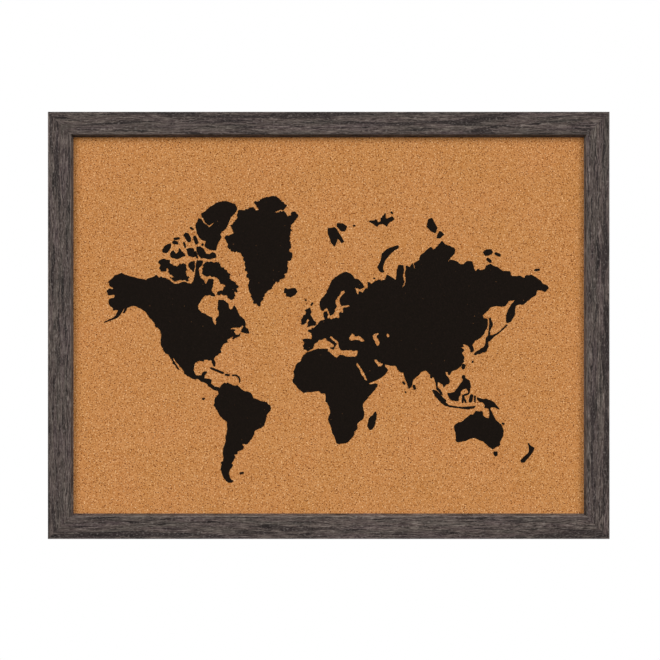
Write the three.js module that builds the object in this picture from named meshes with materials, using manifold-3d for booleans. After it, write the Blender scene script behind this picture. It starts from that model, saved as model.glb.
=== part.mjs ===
// A framed cork pin board with a world map printed on the cork, hung from two D-rings.
// Millimetres, X to the right, Y towards the wall, Z up.
// The origin is on the wall, midway between the two hooks that the raised D-rings hang on.
import * as THREE from 'three';
import { mergeVertices } from 'three/addons/utils/BufferGeometryUtils.js';
import Module from 'manifold-3d';

const wasm = await Module();
wasm.setup();

// Frame rails: flat moulding with a rebate behind a thin lip
const boardWidth = 585;
const boardHeight = 445;
const railWidth = 24;
const railDepth = 18;
const lipThickness = 6;
const rebateWidth = 8;
const outerEase = 1.2;
const innerEase = 0.8;
const backEase = 0.5;
const mitreGap = 0.2;

// Panels in the rebate, front to back
const corkThickness = 3;
const coreThickness = 5;
const backingThickness = 2;
const panelClearance = 1;

// World map: its margins on the cork in sight, and the equator's drop below the board's middle
// as a share of the globe's radius at the map's scale
const inkThickness = 0.2;
const westMargin = 34.1;
const eastMargin = 39.1;
const equatorDropShare = 1.041;

// V-nails across the mitres, pressed in from behind
const nailWing = 5;
const nailThickness = 0.6;
const nailHeight = 10;
const nailRecess = 0.3;
const outerNailInset = 4;
const innerNailInset = 9.5;

// Framer's points in the rebate wall
const pointWidth = 8;
const pointLength = 15;
const pointThickness = 0.5;
const pointBite = 5;
const pointTip = 3;
const pointCorner = 1.5;

// Strap hangers: a folded strap, a D-ring of bent wire and a pan-head screw
const hangerDrop = 70;
const strapWidth = 8;
const strapThickness = 0.5;
const strapLength = 27;
const wireRadius = 1;
const ringHalfWidth = 6.9;
const ringCorner = 2.3;
const ringReach = 13.5;
const restGap = 0.3;
const screwDrop = 20;
const shankRadius = 1.5;
const screwLength = 13;
const screwTip = 2.5;
const headRadius = 3.1;
const headHeight = 1.9;
const headRim = 0.6;
const recessLength = 3.4;
const recessWidth = 0.7;
const recessDepth = 1;

// Rubber bumpers that keep the lower edge off the wall
const bumperRadius = 5;
const bumperHeight = 4.5;
const bumperRound = 1;
const bumperInset = 40;

// Clearance round every piece that passes through another, and the overrun of every cut
const fitGap = 0.3;
const overrun = 1;

// Steps round the curves
const easeSteps = 2;
const strapSteps = 6;
const latheSteps = 20;
const roundSteps = 4;
const bowSteps = 14;
const cornerSteps = 4;
const wireSides = 10;

// Places along Y, from the wall to the front
const backY = -bumperHeight;
const frontY = backY - railDepth;
const corkY = frontY + lipThickness;
const coreY = corkY + corkThickness;
const backingY = coreY + coreThickness;
const stackY = backingY + backingThickness;

// A strap's loop, and its two leaves together, measured from the rail's back
const loopRadius = wireRadius + fitGap + strapThickness;
const leavesY = 2 * strapThickness;

// Places along Z: the raised rings reach the origin's height
const barZ = wireRadius - ringReach;
const topZ = barZ + hangerDrop;
const bottomZ = topZ - boardHeight;
const middleZ = topZ - boardHeight / 2;

// The rebate wall and the middle of a rail's back face, measured from the rail's outer edge
const rebateWall = railWidth - rebateWidth;
const backFaceMiddle = rebateWall / 2;

const quarterTurn = Math.PI / 2;

// Points along the long and the short rails, as shares of a rail's length
const longRailPointShares = [1 / 6, 1 / 2, 5 / 6];
const shortRailPointShares = [1 / 4, 3 / 4];

// Coasts of a general world map, each point's longitude and latitude as shares of the degree grid.
// A land's first ring is its coast, and any further rings are its seas. Each ring runs clockwise.
const coastShares = {
  americas: [[
    [-166.8, 68.3], [-166, 68.9], [-163, 69.7], [-161.8, 70.3], [-159.4, 70.5], [-156.5, 71],
    [-154, 70.5], [-150, 70.1], [-145.5, 69.7], [-141, 69.3], [-138, 69.1], [-136.5, 68.9],
    [-135, 69.4], [-132, 69.7], [-129.5, 70.1], [-127.8, 70.5], [-127, 70], [-125.5, 69.6],
    [-124.3, 70.1], [-123, 69.6], [-120.5, 69.5], [-117, 68.9], [-115, 68.2], [-113.4, 67.8],
    [-110, 67.9], [-107, 68.4], [-105, 68.5], [-102.5, 67.9], [-99.5, 67.8], [-98, 68.5], [-97.2, 69.5],
    [-96.2, 70.5], [-96, 71.8], [-95.2, 72.2], [-95.6, 73.2], [-95.2, 74], [-92, 74.1], [-90.3, 73.9],
    [-90.8, 72.9], [-92.5, 72.5], [-93.3, 71.8], [-92.2, 71.2], [-91.5, 70.2], [-91.8, 69.7],
    [-90.5, 69.4], [-89, 69], [-88.3, 68], [-87.6, 67.5], [-87, 68.2], [-85.8, 69], [-85.2, 69.4],
    [-82.5, 69.4], [-81.4, 69.1], [-81.6, 68.2], [-82.2, 67.4], [-82.3, 66.8], [-83.4, 66],
    [-83.2, 65.4], [-81.5, 64.6], [-80.1, 64], [-81.7, 63.7], [-85, 64.3], [-86.5, 64], [-88.5, 64],
    [-90.5, 63.2], [-92.3, 62], [-93.5, 61], [-94.5, 60], [-94.2, 58.8], [-92.7, 57.8], [-91.5, 57.1],
    [-88.3, 56.6], [-85.5, 55.5], [-82.8, 55.1], [-82.1, 53.2], [-81.2, 52], [-80.3, 51.2],
    [-79.2, 51.5], [-79, 52.8], [-79.6, 54.4], [-77.6, 55.6], [-76.7, 56.8], [-77.2, 58], [-78.3, 58.8],
    [-77.5, 60.3], [-77.8, 61.6], [-77.3, 62.5], [-75.5, 62.3], [-73.7, 62.4], [-71.5, 61.5],
    [-69.6, 60.8], [-69.3, 59.2], [-67.8, 58.4], [-66.2, 58.8], [-65.2, 59.8], [-64.4, 60.3],
    [-62.8, 58.5], [-61.5, 57], [-60, 55.6], [-58, 54.8], [-56.5, 53.7], [-55.6, 52.4], [-55.5, 51.5],
    [-56, 50.4], [-55.2, 49.8], [-53.6, 49.4], [-53.3, 48.4], [-52.7, 47.6], [-53.3, 46.7],
    [-55.9, 46.9], [-57.5, 47.6], [-59.3, 47.7], [-58.7, 48.6], [-57.5, 50.2], [-57.2, 51.2],
    [-58.5, 51.1], [-60, 50.2], [-63, 50.25], [-66.2, 50.2], [-68.5, 48.8], [-66.5, 49.1],
    [-64.3, 48.8], [-65.8, 48], [-64.8, 47], [-64.3, 46.2], [-62.5, 45.8], [-61.3, 46], [-60.6, 47],
    [-59.9, 46], [-61.5, 45.1], [-63.6, 44.5], [-65.6, 43.5], [-66.2, 44], [-65, 45.2], [-67, 44.9],
    [-69, 44], [-70.6, 43.1], [-70.8, 42.5], [-70, 41.7], [-71.5, 41.4], [-73.8, 40.7], [-74.1, 39.7],
    [-75, 38.8], [-75.9, 37.1], [-75.5, 35.2], [-77.2, 34.6], [-78, 33.9], [-79.3, 33.1], [-81, 32],
    [-81.4, 30.6], [-80.6, 28.4], [-80, 26.8], [-80.4, 25.2], [-81.2, 25.2], [-81.9, 26.5], [-82.8, 28],
    [-82.7, 29.2], [-84, 30.1], [-85.3, 29.7], [-86.5, 30.4], [-88.5, 30.3], [-89.6, 30.2],
    [-89.2, 29.1], [-91, 29.2], [-93.5, 29.7], [-95, 29.1], [-96.8, 28.1], [-97.4, 27], [-97.2, 25.5],
    [-97.8, 22.5], [-97.2, 20.5], [-96, 19], [-94.6, 18.2], [-92.5, 18.6], [-91.2, 18.7], [-90.5, 20.2],
    [-90.2, 21.1], [-88.2, 21.6], [-86.9, 21.5], [-87.5, 19.8], [-88, 18.4], [-88.7, 16], [-87, 15.8],
    [-84.5, 15.8], [-83.3, 15], [-83.5, 13], [-83.7, 11], [-82.5, 9.3], [-81, 8.8], [-79.6, 9.6],
    [-78, 9.4], [-77.2, 8.5], [-76.8, 8], [-75.5, 10.2], [-74.5, 11.1], [-72.2, 12.1], [-71.5, 11],
    [-70.3, 11.9], [-68.3, 10.9], [-66, 10.5], [-64.5, 10.2], [-62, 10.7], [-61, 9.5], [-59.5, 8.2],
    [-57.3, 6.2], [-54, 5.8], [-51.6, 5], [-50.4, 2.6], [-49.6, 1.2], [-49.4, 0.4], [-48, 0],
    [-46, -0.4], [-44, -1.6], [-41, -2.3], [-38.6, -2.8], [-37, -4.8], [-35.4, -5.5], [-34.8, -7.5],
    [-35.3, -9.5], [-37.2, -11.5], [-38.6, -13], [-39, -15.5], [-39.2, -17.8], [-40.3, -20.3],
    [-41, -22], [-43.4, -23.2], [-45.5, -23.8], [-48.2, -25.6], [-48.6, -27.8], [-50.2, -30.2],
    [-52.5, -32.8], [-53.7, -34.3], [-55.5, -34.8], [-58, -34.1], [-58.4, -34.9], [-57.1, -36.3],
    [-57.7, -38.1], [-61, -38.9], [-62.3, -39.3], [-62.3, -40.8], [-65, -41.1], [-64, -42.6],
    [-65.2, -43.7], [-65.5, -45.1], [-67.4, -46.3], [-65.8, -47.4], [-67.5, -49], [-68.8, -50.3],
    [-69, -51.8], [-68.4, -52.4], [-68, -53.4], [-66.5, -54.3], [-65.2, -54.8], [-67, -55.4],
    [-68.8, -55.4], [-71, -54.6], [-73.3, -53], [-74.5, -51.5], [-75.3, -49.8], [-75.2, -48],
    [-74.6, -46.8], [-75.5, -46.2], [-73.8, -45.2], [-73.3, -43.5], [-73.8, -41.7], [-73.6, -39.5],
    [-73.4, -37.2], [-72, -34.5], [-71.6, -32.5], [-71.4, -29.8], [-70.8, -27], [-70.4, -23],
    [-70.2, -19], [-71.4, -17.6], [-74, -16], [-76.2, -13.9], [-77.2, -12], [-78.8, -8.6], [-79.8, -7],
    [-81.2, -5.9], [-81.2, -4.5], [-80.2, -3.2], [-80.9, -2.2], [-80.5, -0.5], [-79.9, 0.9],
    [-78.7, 1.8], [-77.3, 4.2], [-77.6, 6.5], [-77.9, 7.5], [-78.4, 8.4], [-79.6, 8.9], [-80.3, 8.3],
    [-80, 7.5], [-81.7, 7.7], [-83, 8.3], [-83.8, 9.3], [-85.5, 9.9], [-85.9, 10.9], [-87.5, 12.7],
    [-89.3, 13.4], [-91.5, 14], [-93.5, 15.6], [-94.8, 16.2], [-96.5, 15.7], [-99.5, 16.7], [-102, 18],
    [-104.5, 19.2], [-105.5, 20.4], [-105.3, 21.5], [-106.5, 23.2], [-108.5, 25.2], [-109.5, 26.6],
    [-111, 27.9], [-112.4, 29.3], [-113.1, 31], [-114.7, 31.8], [-114.7, 30.7], [-113.5, 29.3],
    [-112.7, 27.9], [-111.4, 26.2], [-110.6, 24.4], [-109.5, 23.2], [-110.1, 22.9], [-111.8, 24.6],
    [-112.3, 26], [-114, 27.1], [-115, 27.8], [-114.2, 28.7], [-115.8, 30.3], [-117, 32.4],
    [-118.4, 33.9], [-120.6, 34.6], [-121.9, 36.6], [-122.5, 37.6], [-123.8, 39.3], [-124.3, 40.4],
    [-124.1, 42], [-124.3, 43.3], [-124, 46.2], [-124.7, 48.3], [-125.5, 49.3], [-128.8, 50.6],
    [-129.2, 52], [-131.4, 54], [-134, 55.1], [-135.8, 57], [-138, 58], [-140.2, 58.9], [-143, 59.5],
    [-146.4, 60.2], [-148.3, 60], [-151.8, 59.3], [-152.6, 58.2], [-154.5, 56.9], [-155, 57.3],
    [-153.6, 58.8], [-153.2, 59.7], [-154.2, 59], [-156.4, 57.3], [-160, 55], [-163.7, 54.5],
    [-170.6, 52.6], [-165.4, 54.6], [-161, 56.2], [-158.4, 58.6], [-160.5, 58.7], [-162, 58.7],
    [-162.2, 59.8], [-164.5, 60.5], [-166, 61.7], [-164.8, 63.1], [-161.5, 63.4], [-160.9, 64.4],
    [-162.5, 64.5], [-165.5, 64.5], [-168, 65.6], [-165, 66.4], [-162.5, 66.1], [-161.8, 66.6],
    [-163.5, 67.1], [-165.5, 68.1],
  ]],
  greenland: [[
    [-61.5, 82.1], [-55.5, 82.2], [-50.5, 82.5], [-46.8, 82], [-45.2, 82.3], [-48.1, 82.9],
    [-40.3, 83.35], [-35.6, 83.6], [-31.6, 83.6], [-27.3, 83.3], [-22.2, 82.6], [-24.9, 82.2],
    [-33, 81.95], [-25, 82], [-23.9, 82.1], [-22.6, 81.7], [-20.2, 81.4], [-15.8, 81.9], [-12.7, 81.5],
    [-14.8, 81], [-18.8, 80], [-19.2, 79.3], [-18.8, 78.7], [-19.5, 77.7], [-18.2, 77.2], [-19.3, 76.1],
    [-17.8, 75.2], [-20.9, 73.8], [-21.5, 72.8], [-21.9, 71], [-24.9, 70.9], [-23.2, 70.1],
    [-26.2, 68.9], [-31.6, 68.2], [-35, 66.3], [-39.7, 65.2], [-41, 63.2], [-42.4, 61.6], [-44.1, 59.9],
    [-48.1, 61.3], [-51.1, 63.8], [-53.2, 66.8], [-52.1, 69], [-54.5, 69.8], [-53.2, 70.9],
    [-55.5, 71.6], [-55.8, 72.8], [-58.2, 74.9], [-59.9, 75.6], [-63.2, 76], [-67.9, 75.9],
    [-70.6, 76.8], [-69.6, 77.3], [-72.3, 78.2], [-65.3, 79.1], [-65.5, 79.6], [-67.3, 80.2],
    [-61.9, 81.35],
  ]],
  ellesmere: [[
    [-91.7, 81.7], [-87.5, 82.1], [-84.2, 82.5], [-78.1, 82.95], [-71.9, 83.1], [-64.4, 82.8],
    [-62, 82.2], [-64.6, 81.7], [-67.5, 81.3], [-69.5, 80.6], [-71.4, 79.8], [-74.9, 79.3], [-76, 78.9],
    [-74.5, 78.5], [-76.5, 77.8], [-78.5, 77.1], [-79.4, 76.15], [-85.6, 76.3], [-88.6, 76.8],
    [-87.7, 77.9], [-91.7, 78.1], [-94.7, 79], [-96.1, 80.2], [-93.9, 81.15], [-91.7, 81.1],
    [-89.4, 80.6], [-85.1, 80.15], [-82, 80.45], [-79.4, 80.9], [-82.3, 80.65], [-85.6, 80.4],
    [-88.4, 80.8], [-90.8, 81.35],
  ]],
  baffin: [[
    [-88.6, 73.5], [-85.5, 73.8], [-81.5, 73.7], [-77.7, 73.6], [-75.4, 72.6], [-71.5, 71.5],
    [-67.9, 70.6], [-66.6, 68.9], [-63.5, 67.8], [-61.5, 66.9], [-61.8, 66.2], [-63.1, 65.3],
    [-66.2, 66.1], [-64.8, 65], [-63.9, 64], [-65, 63], [-66.2, 62.2], [-69, 62.8], [-71.8, 63.7],
    [-74.5, 64.5], [-77.5, 64.4], [-78.2, 65], [-76.7, 65.4], [-74, 65.5], [-73.2, 66.2], [-72.5, 67.3],
    [-73.5, 68], [-76.7, 68], [-77, 68.9], [-78.2, 69.8], [-81.6, 70], [-85, 70.2], [-87.3, 70.5],
    [-89.2, 71.2], [-89.6, 72.3],
  ]],
  victoria: [[
    [-125.3, 74], [-121, 74.3], [-117.5, 74], [-115.8, 73.2], [-111.8, 72.5], [-109.7, 72.9],
    [-106.1, 73.4], [-104.5, 73], [-104.8, 71.2], [-103.5, 70.4], [-100.6, 69.8], [-101.5, 69.2],
    [-102.8, 68.8], [-108.5, 69], [-111.8, 68.7], [-115, 69.2], [-116.8, 69.7], [-113.4, 70.1],
    [-117.2, 70.5], [-117.8, 71.2], [-119.3, 72.2], [-120.5, 71.5], [-123.5, 71.05], [-125.6, 71.9],
    [-124.8, 73],
  ]],
  prince_of_wales: [[
    [-101.5, 73.3], [-99.5, 73.8], [-97.2, 73.8], [-96.8, 72.6], [-97.6, 71.3], [-99.8, 71.9],
    [-101.6, 72.5],
  ]],
  prince_patrick: [[
    [-123.2, 76], [-121.5, 76.9], [-119, 77.3], [-116.3, 77.4], [-116, 76.8], [-118.2, 76.1],
    [-119.5, 75.6], [-122.3, 75.7],
  ]],
  melville: [[
    [-117, 75.2], [-115.9, 75.9], [-114.3, 76.2], [-112.2, 75.4], [-110.6, 75.6], [-109.3, 76.6],
    [-107.5, 75.9], [-105.5, 75.5], [-104.5, 75], [-108, 74.7], [-111.5, 74.4], [-115, 74.6],
  ]],
  bathurst: [[
    [-103.8, 76.4], [-100.5, 76.6], [-97.8, 76.5], [-97.2, 75.6], [-96.4, 74.9], [-98.5, 74.8],
    [-102, 75.1],
  ]],
  devon: [[
    [-95.3, 76.8], [-92, 76.7], [-89.8, 76.2], [-88.2, 75.4], [-85, 75.3], [-82.5, 75.7], [-80, 75.5],
    [-79.4, 74.7], [-84.2, 74.3], [-89.9, 74.6], [-92.8, 74.6], [-95, 75.4],
  ]],
  iceland: [[
    [-24, 65.6], [-23.3, 66.5], [-21.5, 66.1], [-18, 66.5], [-15, 66.5], [-13.6, 65.4], [-15, 64.3],
    [-18.8, 63.5], [-22.6, 63.9], [-22.2, 64.8], [-24, 65],
  ]],
  britain: [[
    [-5, 58.6], [-3, 58.7], [-2, 57.6], [-3, 56.2], [-1.5, 55], [0.2, 53.2], [1.7, 52.7], [1.3, 51.2],
    [-1.5, 50.7], [-3.6, 50.3], [-5.5, 50.1], [-4.2, 51.3], [-5, 51.8], [-4.4, 52.9], [-3.1, 53.5],
    [-4.9, 54.7], [-5.6, 54.2], [-6, 53.4], [-6.4, 52.2], [-9.8, 51.6], [-10.2, 53.4], [-9.9, 54.3],
    [-8.3, 55.1], [-6.5, 55.4], [-5.8, 56.3], [-6.3, 57.6],
  ]],
  spitsbergen: [[
    [11.4, 79.8], [17.2, 80], [20.7, 79], [24.7, 77.8], [22.5, 77.5], [19.8, 78.3], [18.1, 77.4],
    [16.7, 76.9], [14.1, 77.6], [11.9, 78.9],
  ]],
  nordaustlandet: [[
    [18.9, 80.5], [23.4, 80.5], [27.3, 80.1], [25.1, 79.4], [21.9, 79.45], [18.8, 80.15],
  ]],
  franz_josef: [[
    [44.9, 80.8], [51.1, 81], [52, 80.65], [54.6, 80.75], [54.6, 81.1], [58.1, 81.8], [58.8, 81.1],
    [63.8, 81.4], [65.2, 81], [61.2, 80.7], [59.4, 80.1], [56.5, 80.45], [53, 80.4], [51.5, 80.1],
    [48, 80.5],
  ]],
  novaya_zemlya: [[
    [68.7, 77.1], [69, 76.7], [63.4, 75.7], [57.6, 74], [55.9, 72.4], [57.2, 71.2], [54.1, 71.2],
    [51.7, 72.4], [54.6, 74], [55.4, 75.4], [59.4, 76.3], [64.7, 76.8],
  ]],
  severnaya_zemlya: [[
    [92.9, 81], [95.9, 81.2], [98.1, 80.6], [100.3, 79.9], [99, 79.1], [95.5, 79.4], [92, 80],
  ]],
  bolshevik: [[
    [102.5, 79.5], [105.9, 78.9], [103.4, 78.4], [99.9, 78.3], [101, 79],
  ]],
  new_siberian: [[
    [138, 75.7], [139.9, 76.3], [144.2, 76.3], [145.7, 75.8], [144.2, 75.3], [139.5, 75],
  ]],
  japan: [[
    [142.4, 54.9], [143.2, 54.8], [144, 53.2], [144.8, 51.5], [144, 50], [143.6, 49], [143.1, 47.6],
    [143.5, 46.3], [143.2, 45.2], [145.7, 45], [148.6, 46.3], [152.9, 49.1], [157, 51.6], [157.4, 51.2],
    [153.3, 48.5], [149, 45.7], [146.6, 44.3], [145, 43.4], [143, 42.2], [141.7, 42], [142.1, 40.3],
    [142, 38.7], [141.2, 37.4], [140.6, 36], [139.2, 35.1], [137, 34.8], [135.2, 33.9], [133.5, 33.8],
    [132.3, 33], [131, 33], [130.2, 34], [131.2, 35], [132.5, 35.5], [134.6, 36.1], [136.5, 37.2],
    [138, 37.8], [139, 39], [139.6, 40], [140, 41], [139.8, 42.4], [140, 43.8], [141, 44.8],
    [141.8, 45.6], [142.1, 47.5], [142, 50], [142.3, 52], [142.2, 53.5],
  ]],
  borneo_philippines: [[
    [120.6, 18.5], [122.3, 18.4], [122.2, 15.8], [126.1, 14.5], [127.7, 10.6], [126.9, 6.7],
    [126.2, 4.2], [124, 3.6], [122, 3], [122.8, 0.8], [124.5, -3], [123.4, -3.6], [122, -1],
    [121.5, -3.4], [120.4, -3.4], [120.5, 0], [120.9, 3.4], [123, 4.4], [125.5, 5], [125.8, 6.8],
    [124, 8.6], [121, 7.8], [119.2, 6], [119.3, 3.3], [117.9, 1.3], [117.8, -2], [111.9, -1.2],
    [110.2, 0.6], [108.8, 4.7], [110.6, 4.2], [114.6, 5.4], [117.9, 10], [121, 15], [119.9, 16.2],
  ]],
  sumatra_java: [[
    [95.8, 7], [98.3, 6.6], [101.1, 4.6], [104.1, 2], [107.6, -1.2], [107, -3], [109.9, -5.2],
    [120, -6.9], [126.7, -6.3], [131.5, -6.3], [130.8, -7.3], [125.3, -8.7], [121.3, -8], [109.9, -6.5],
    [105.8, -5], [101.1, -0.6], [98.1, 2.3],
  ]],
  australia: [[
    [132.8, 1], [135.5, 0.6], [137, -0.6], [140.8, -0.1], [146.3, -2.6], [148.2, -4.8], [151, -8.6],
    [147.6, -7.2], [144.9, -6.5], [143.3, -7.6], [143.9, -9.6], [145.2, -13], [147.6, -16.9],
    [150.5, -19], [152.9, -21], [154.4, -24.5], [153.9, -28.7], [151.8, -32.6], [151, -35.5],
    [148, -36.2], [145.5, -37.4], [142.9, -36.5], [139.5, -34], [137.8, -32.6], [136.1, -32.2],
    [134.1, -31.2], [130.8, -30], [126, -31.1], [123.4, -32.2], [117.3, -33.4], [115.7, -32.6],
    [115.9, -28.4], [114.4, -24.3], [114.5, -21.4], [116.6, -19.6], [121.3, -18.2], [123.4, -15.7],
    [127.4, -12.9], [129.6, -13.3], [131.4, -10.5], [133.5, -10.9], [136.8, -10.5], [137.2, -13.5],
    [139.5, -15.4], [142.2, -15.8], [142.9, -11.4], [142.4, -8.4], [140.8, -7.3], [138.5, -7.6],
    [139.3, -5.6], [137.5, -3], [134.8, -2.6], [133.4, -0.9],
  ]],
  tasmania: [[
    [146.3, -38.5], [149.7, -38.6], [149.4, -40.6], [147.9, -41.4], [146.6, -40.3],
  ]],
  new_zealand: [[
    [174.3, -33], [176.5, -35], [179.3, -36.1], [177.9, -38.7], [175.2, -41.3], [171.8, -44.8],
    [169, -45.4], [168.2, -44], [171.8, -41], [175, -38.8], [175.4, -36.9],
  ]],
  madagascar: [[
    [50, -10.3], [51.2, -12.8], [49.9, -20.4], [47.4, -24.2], [45.2, -24.4], [43.8, -21.5],
    [44.8, -16.3], [48.3, -13],
  ]],
  afro_eurasia: [[
    [-5.6, 36], [-6.3, 36.8], [-7.4, 37.2], [-8.9, 37], [-8.8, 38.5], [-9.5, 38.8], [-8.8, 40.5],
    [-8.9, 42], [-9.2, 43.1], [-7.9, 43.7], [-5.8, 43.6], [-3.5, 43.5], [-1.7, 43.4], [-1.2, 44.7],
    [-1.2, 46], [-2.4, 47.3], [-4.6, 47.9], [-4.7, 48.5], [-3, 48.8], [-1.6, 48.7], [-1.8, 49.7],
    [-1.1, 49.4], [0.2, 49.6], [1.6, 50.4], [1.8, 51], [3.5, 51.5], [4.6, 52.6], [5.2, 53.3], [7, 53.6],
    [8.6, 53.8], [8.9, 54.6], [8.2, 55.6], [8.3, 56.8], [9.6, 57.3], [10.6, 57.7], [10.4, 56.6],
    [11, 56], [9.9, 54.8], [11, 54.1], [12.5, 54.4], [14.2, 53.9], [16.5, 54.5], [18.5, 54.8],
    [19.5, 54.4], [21, 55.2], [21, 56.8], [21.8, 57.5], [23.5, 57], [24.4, 57.6], [23.6, 58.7],
    [24.5, 59.4], [27.5, 59.5], [29.8, 59.9], [28.5, 60.5], [25.5, 60.3], [23, 60], [21.4, 60.8],
    [21.5, 62], [21.4, 63], [23.5, 64.2], [25.2, 65], [25, 65.7], [23.8, 65.8], [22, 65.4],
    [21.2, 64.3], [19.2, 63.3], [17.6, 62.3], [17.2, 61], [18.8, 59.8], [17.2, 58.7], [16.6, 57.2],
    [15.9, 56.2], [14.3, 55.6], [13, 55.4], [12.6, 56.4], [11.5, 58.2], [10.7, 59.3], [9.5, 58.9],
    [7.5, 58], [5.7, 58.7], [5, 60.5], [5.1, 61.8], [6.6, 62.9], [8.6, 63.8], [10.4, 64.8], [12, 66.4],
    [13.4, 67.8], [14.6, 68.7], [17.6, 69.8], [21, 70.5], [23.5, 71], [25.7, 71.3], [28.5, 71],
    [31, 70.4], [33.5, 69.4], [36.5, 69.1], [39.5, 68], [41.2, 66.8], [38, 66.1], [35, 66.4],
    [32.5, 67], [34, 66], [34.8, 64.5], [36.6, 63.9], [37, 65.1], [39.8, 64.6], [40.5, 65.3],
    [42.2, 66.4], [43.9, 66.1], [44.2, 67], [43.6, 68.5], [46, 68.2], [46.5, 67.6], [48, 68.1],
    [50, 68.6], [53.2, 69.1], [54.7, 68.8], [58, 69.1], [59.4, 70.4], [64.5, 69.6], [66.6, 69],
    [67, 69.6], [67, 71.3], [68.5, 72.9], [72.5, 72.8], [72.8, 71.2], [72, 70], [73.6, 68.5],
    [71.5, 66.6], [73.9, 67.2], [75, 68.6], [74.2, 71], [74.9, 72.8], [78, 72.4], [80.2, 73.4],
    [83.3, 70.9], [81.6, 73.3], [85.8, 74.1], [86.8, 75.1], [91, 76], [95.5, 76.8], [97, 76.2],
    [99, 76.5], [101, 77], [104.3, 77.8], [106.5, 77.3], [110.5, 76.9], [113.8, 76.3], [114, 75.5],
    [111.3, 74.7], [108, 73.5], [111.3, 74.2], [115.3, 73.9], [119, 73.2], [121.8, 73.1], [124.7, 73.9],
    [128.3, 73.6], [129.5, 72.3], [131.3, 71.3], [133.4, 72], [136, 71.6], [139.2, 71.9], [139.9, 72.8],
    [143.5, 73.2], [147, 72.6], [150, 72.4], [153.7, 71.4], [159.5, 71.4], [160.6, 70.1], [165, 70],
    [168.2, 70.1], [171.1, 69.4], [172.6, 70.2], [176.9, 70.2], [181.3, 69.4], [184.5, 68.4],
    [186.3, 67.6], [189.9, 67.2], [191, 66.5], [188.5, 65.2], [185.6, 65.6], [181.3, 65.8], [180.5, 64],
    [177, 63.2], [173.5, 61.9], [170.5, 60.3], [166.5, 60.1], [164, 59.8], [163.2, 58.5], [163, 56.5],
    [161.8, 55], [160, 53.2], [157.2, 52.2], [156, 53.5], [155.9, 56], [157.5, 58.2], [160.5, 60.5],
    [163, 61.8], [165, 62.7], [161.5, 62.2], [160, 62.3], [157.5, 61.6], [155.5, 59.9], [152, 59.5],
    [148.5, 59.7], [144, 59.5], [140.5, 57.6], [137.2, 56], [138, 54.6], [141, 54.3], [141, 52],
    [140.7, 50], [138.5, 46.8], [136, 44.8], [133.5, 43.2], [130.8, 42.8], [129.7, 41], [127.9, 40],
    [129, 38.4], [129.6, 36.8], [129, 35.6], [126.9, 35.2], [126.4, 36.8], [125.5, 38], [124.6, 39.7],
    [122, 40.6], [120.6, 40.2], [121.7, 39], [118.9, 38.6], [121, 37.4], [122.2, 36.8], [120.2, 35.6],
    [119.8, 34.8], [121, 33], [122, 31.5], [121.2, 30.4], [121.8, 29.2], [120.5, 27.3], [119.5, 25.6],
    [117.8, 24.2], [115.2, 22.8], [113.2, 22.1], [111.3, 21.4], [110.9, 19.8], [109.6, 18.9],
    [108.9, 19.7], [109.3, 20.9], [108.3, 21.6], [107, 21.3], [107, 20.4], [107, 19], [108.2, 17.4],
    [109.4, 15.6], [109.9, 13.2], [109, 11.5], [107, 10.4], [105, 8.7], [104.8, 10.2], [102.9, 11.7],
    [101.5, 12.7], [100.8, 13.4], [100, 13.3], [99.4, 11.2], [99.3, 9.4], [100.5, 8.3], [102, 6.8],
    [103.6, 5.2], [104.6, 3.4], [104.7, 2.5], [103.6, 3.2], [102, 4.6], [100.9, 5.9], [99, 7.3],
    [98.3, 8.5], [98.5, 10.5], [98, 13], [97.7, 15.8], [96.8, 17.2], [95.3, 15.9], [94.3, 16.2],
    [94.4, 18.5], [93, 20.2], [91.9, 22], [90.5, 22.4], [88.5, 21.7], [87, 21.2], [86.5, 20],
    [84.5, 18.5], [82.3, 16.7], [80.6, 15.6], [80.2, 13.5], [79.9, 11.5], [79.3, 10.3], [78.2, 8.9],
    [77.5, 8.1], [77, 9.9], [76, 12.2], [74.8, 15.2], [73.8, 18.2], [73.3, 20.9], [70.9, 20.8],
    [69.2, 22.2], [68.2, 23.6], [66.9, 25.8], [64.5, 26], [61.7, 25.9], [58.8, 26.1], [57.3, 26.5],
    [56.6, 24.6], [58.6, 23.7], [59.8, 22.5], [58.6, 20.4], [57.5, 18.9], [55.3, 17.4], [52.2, 15.6],
    [49, 14.2], [45.5, 13], [43.8, 12.5], [44.3, 11], [47.5, 11.3], [51.2, 11.9], [50.9, 10],
    [49.2, 7.2], [47.4, 4.8], [45.1, 2.6], [42.8, -0.5], [41, -2.3], [40, -4.2], [39.7, -6.4],
    [40.2, -8.5], [41, -11], [40.7, -14.8], [39.5, -16.8], [36.8, -18], [34.9, -19.9], [35.4, -22],
    [35.3, -23.9], [32.8, -25.8], [32.6, -28.2], [31, -29.9], [28.8, -32.4], [26.3, -33.8], [23.5, -34],
    [20.2, -34.6], [18.4, -34.1], [18.2, -32], [16.8, -28.9], [15.2, -26.7], [14.4, -23], [12.6, -19],
    [11.7, -16.8], [12.4, -14], [13.7, -11], [13, -8.5], [12.2, -6], [11.4, -3.8], [9.9, -2], [10, 0.5],
    [9.7, 2.8], [9.5, 4], [8.3, 4.6], [6, 4.3], [4.4, 6.3], [1.5, 6.2], [-2, 4.8], [-4.5, 5.2],
    [-7.6, 4.4], [-9.3, 5.4], [-11.4, 6.9], [-13.1, 8.4], [-13.8, 9.8], [-15, 11], [-16.7, 12.4],
    [-17.2, 14.7], [-15.9, 16.5], [-15.9, 19.3], [-16.4, 21.2], [-15.2, 23.8], [-14.5, 26.2],
    [-12.9, 27.9], [-10.2, 29.3], [-9.7, 31.4], [-8.5, 33.3], [-6.8, 34.1], [-5.9, 35.4], [-4.8, 35.3],
    [-2, 35.8], [0.5, 36.7], [3.5, 37.4], [7.5, 37.5], [9.8, 37.3], [11, 37], [10.5, 35.8],
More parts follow.
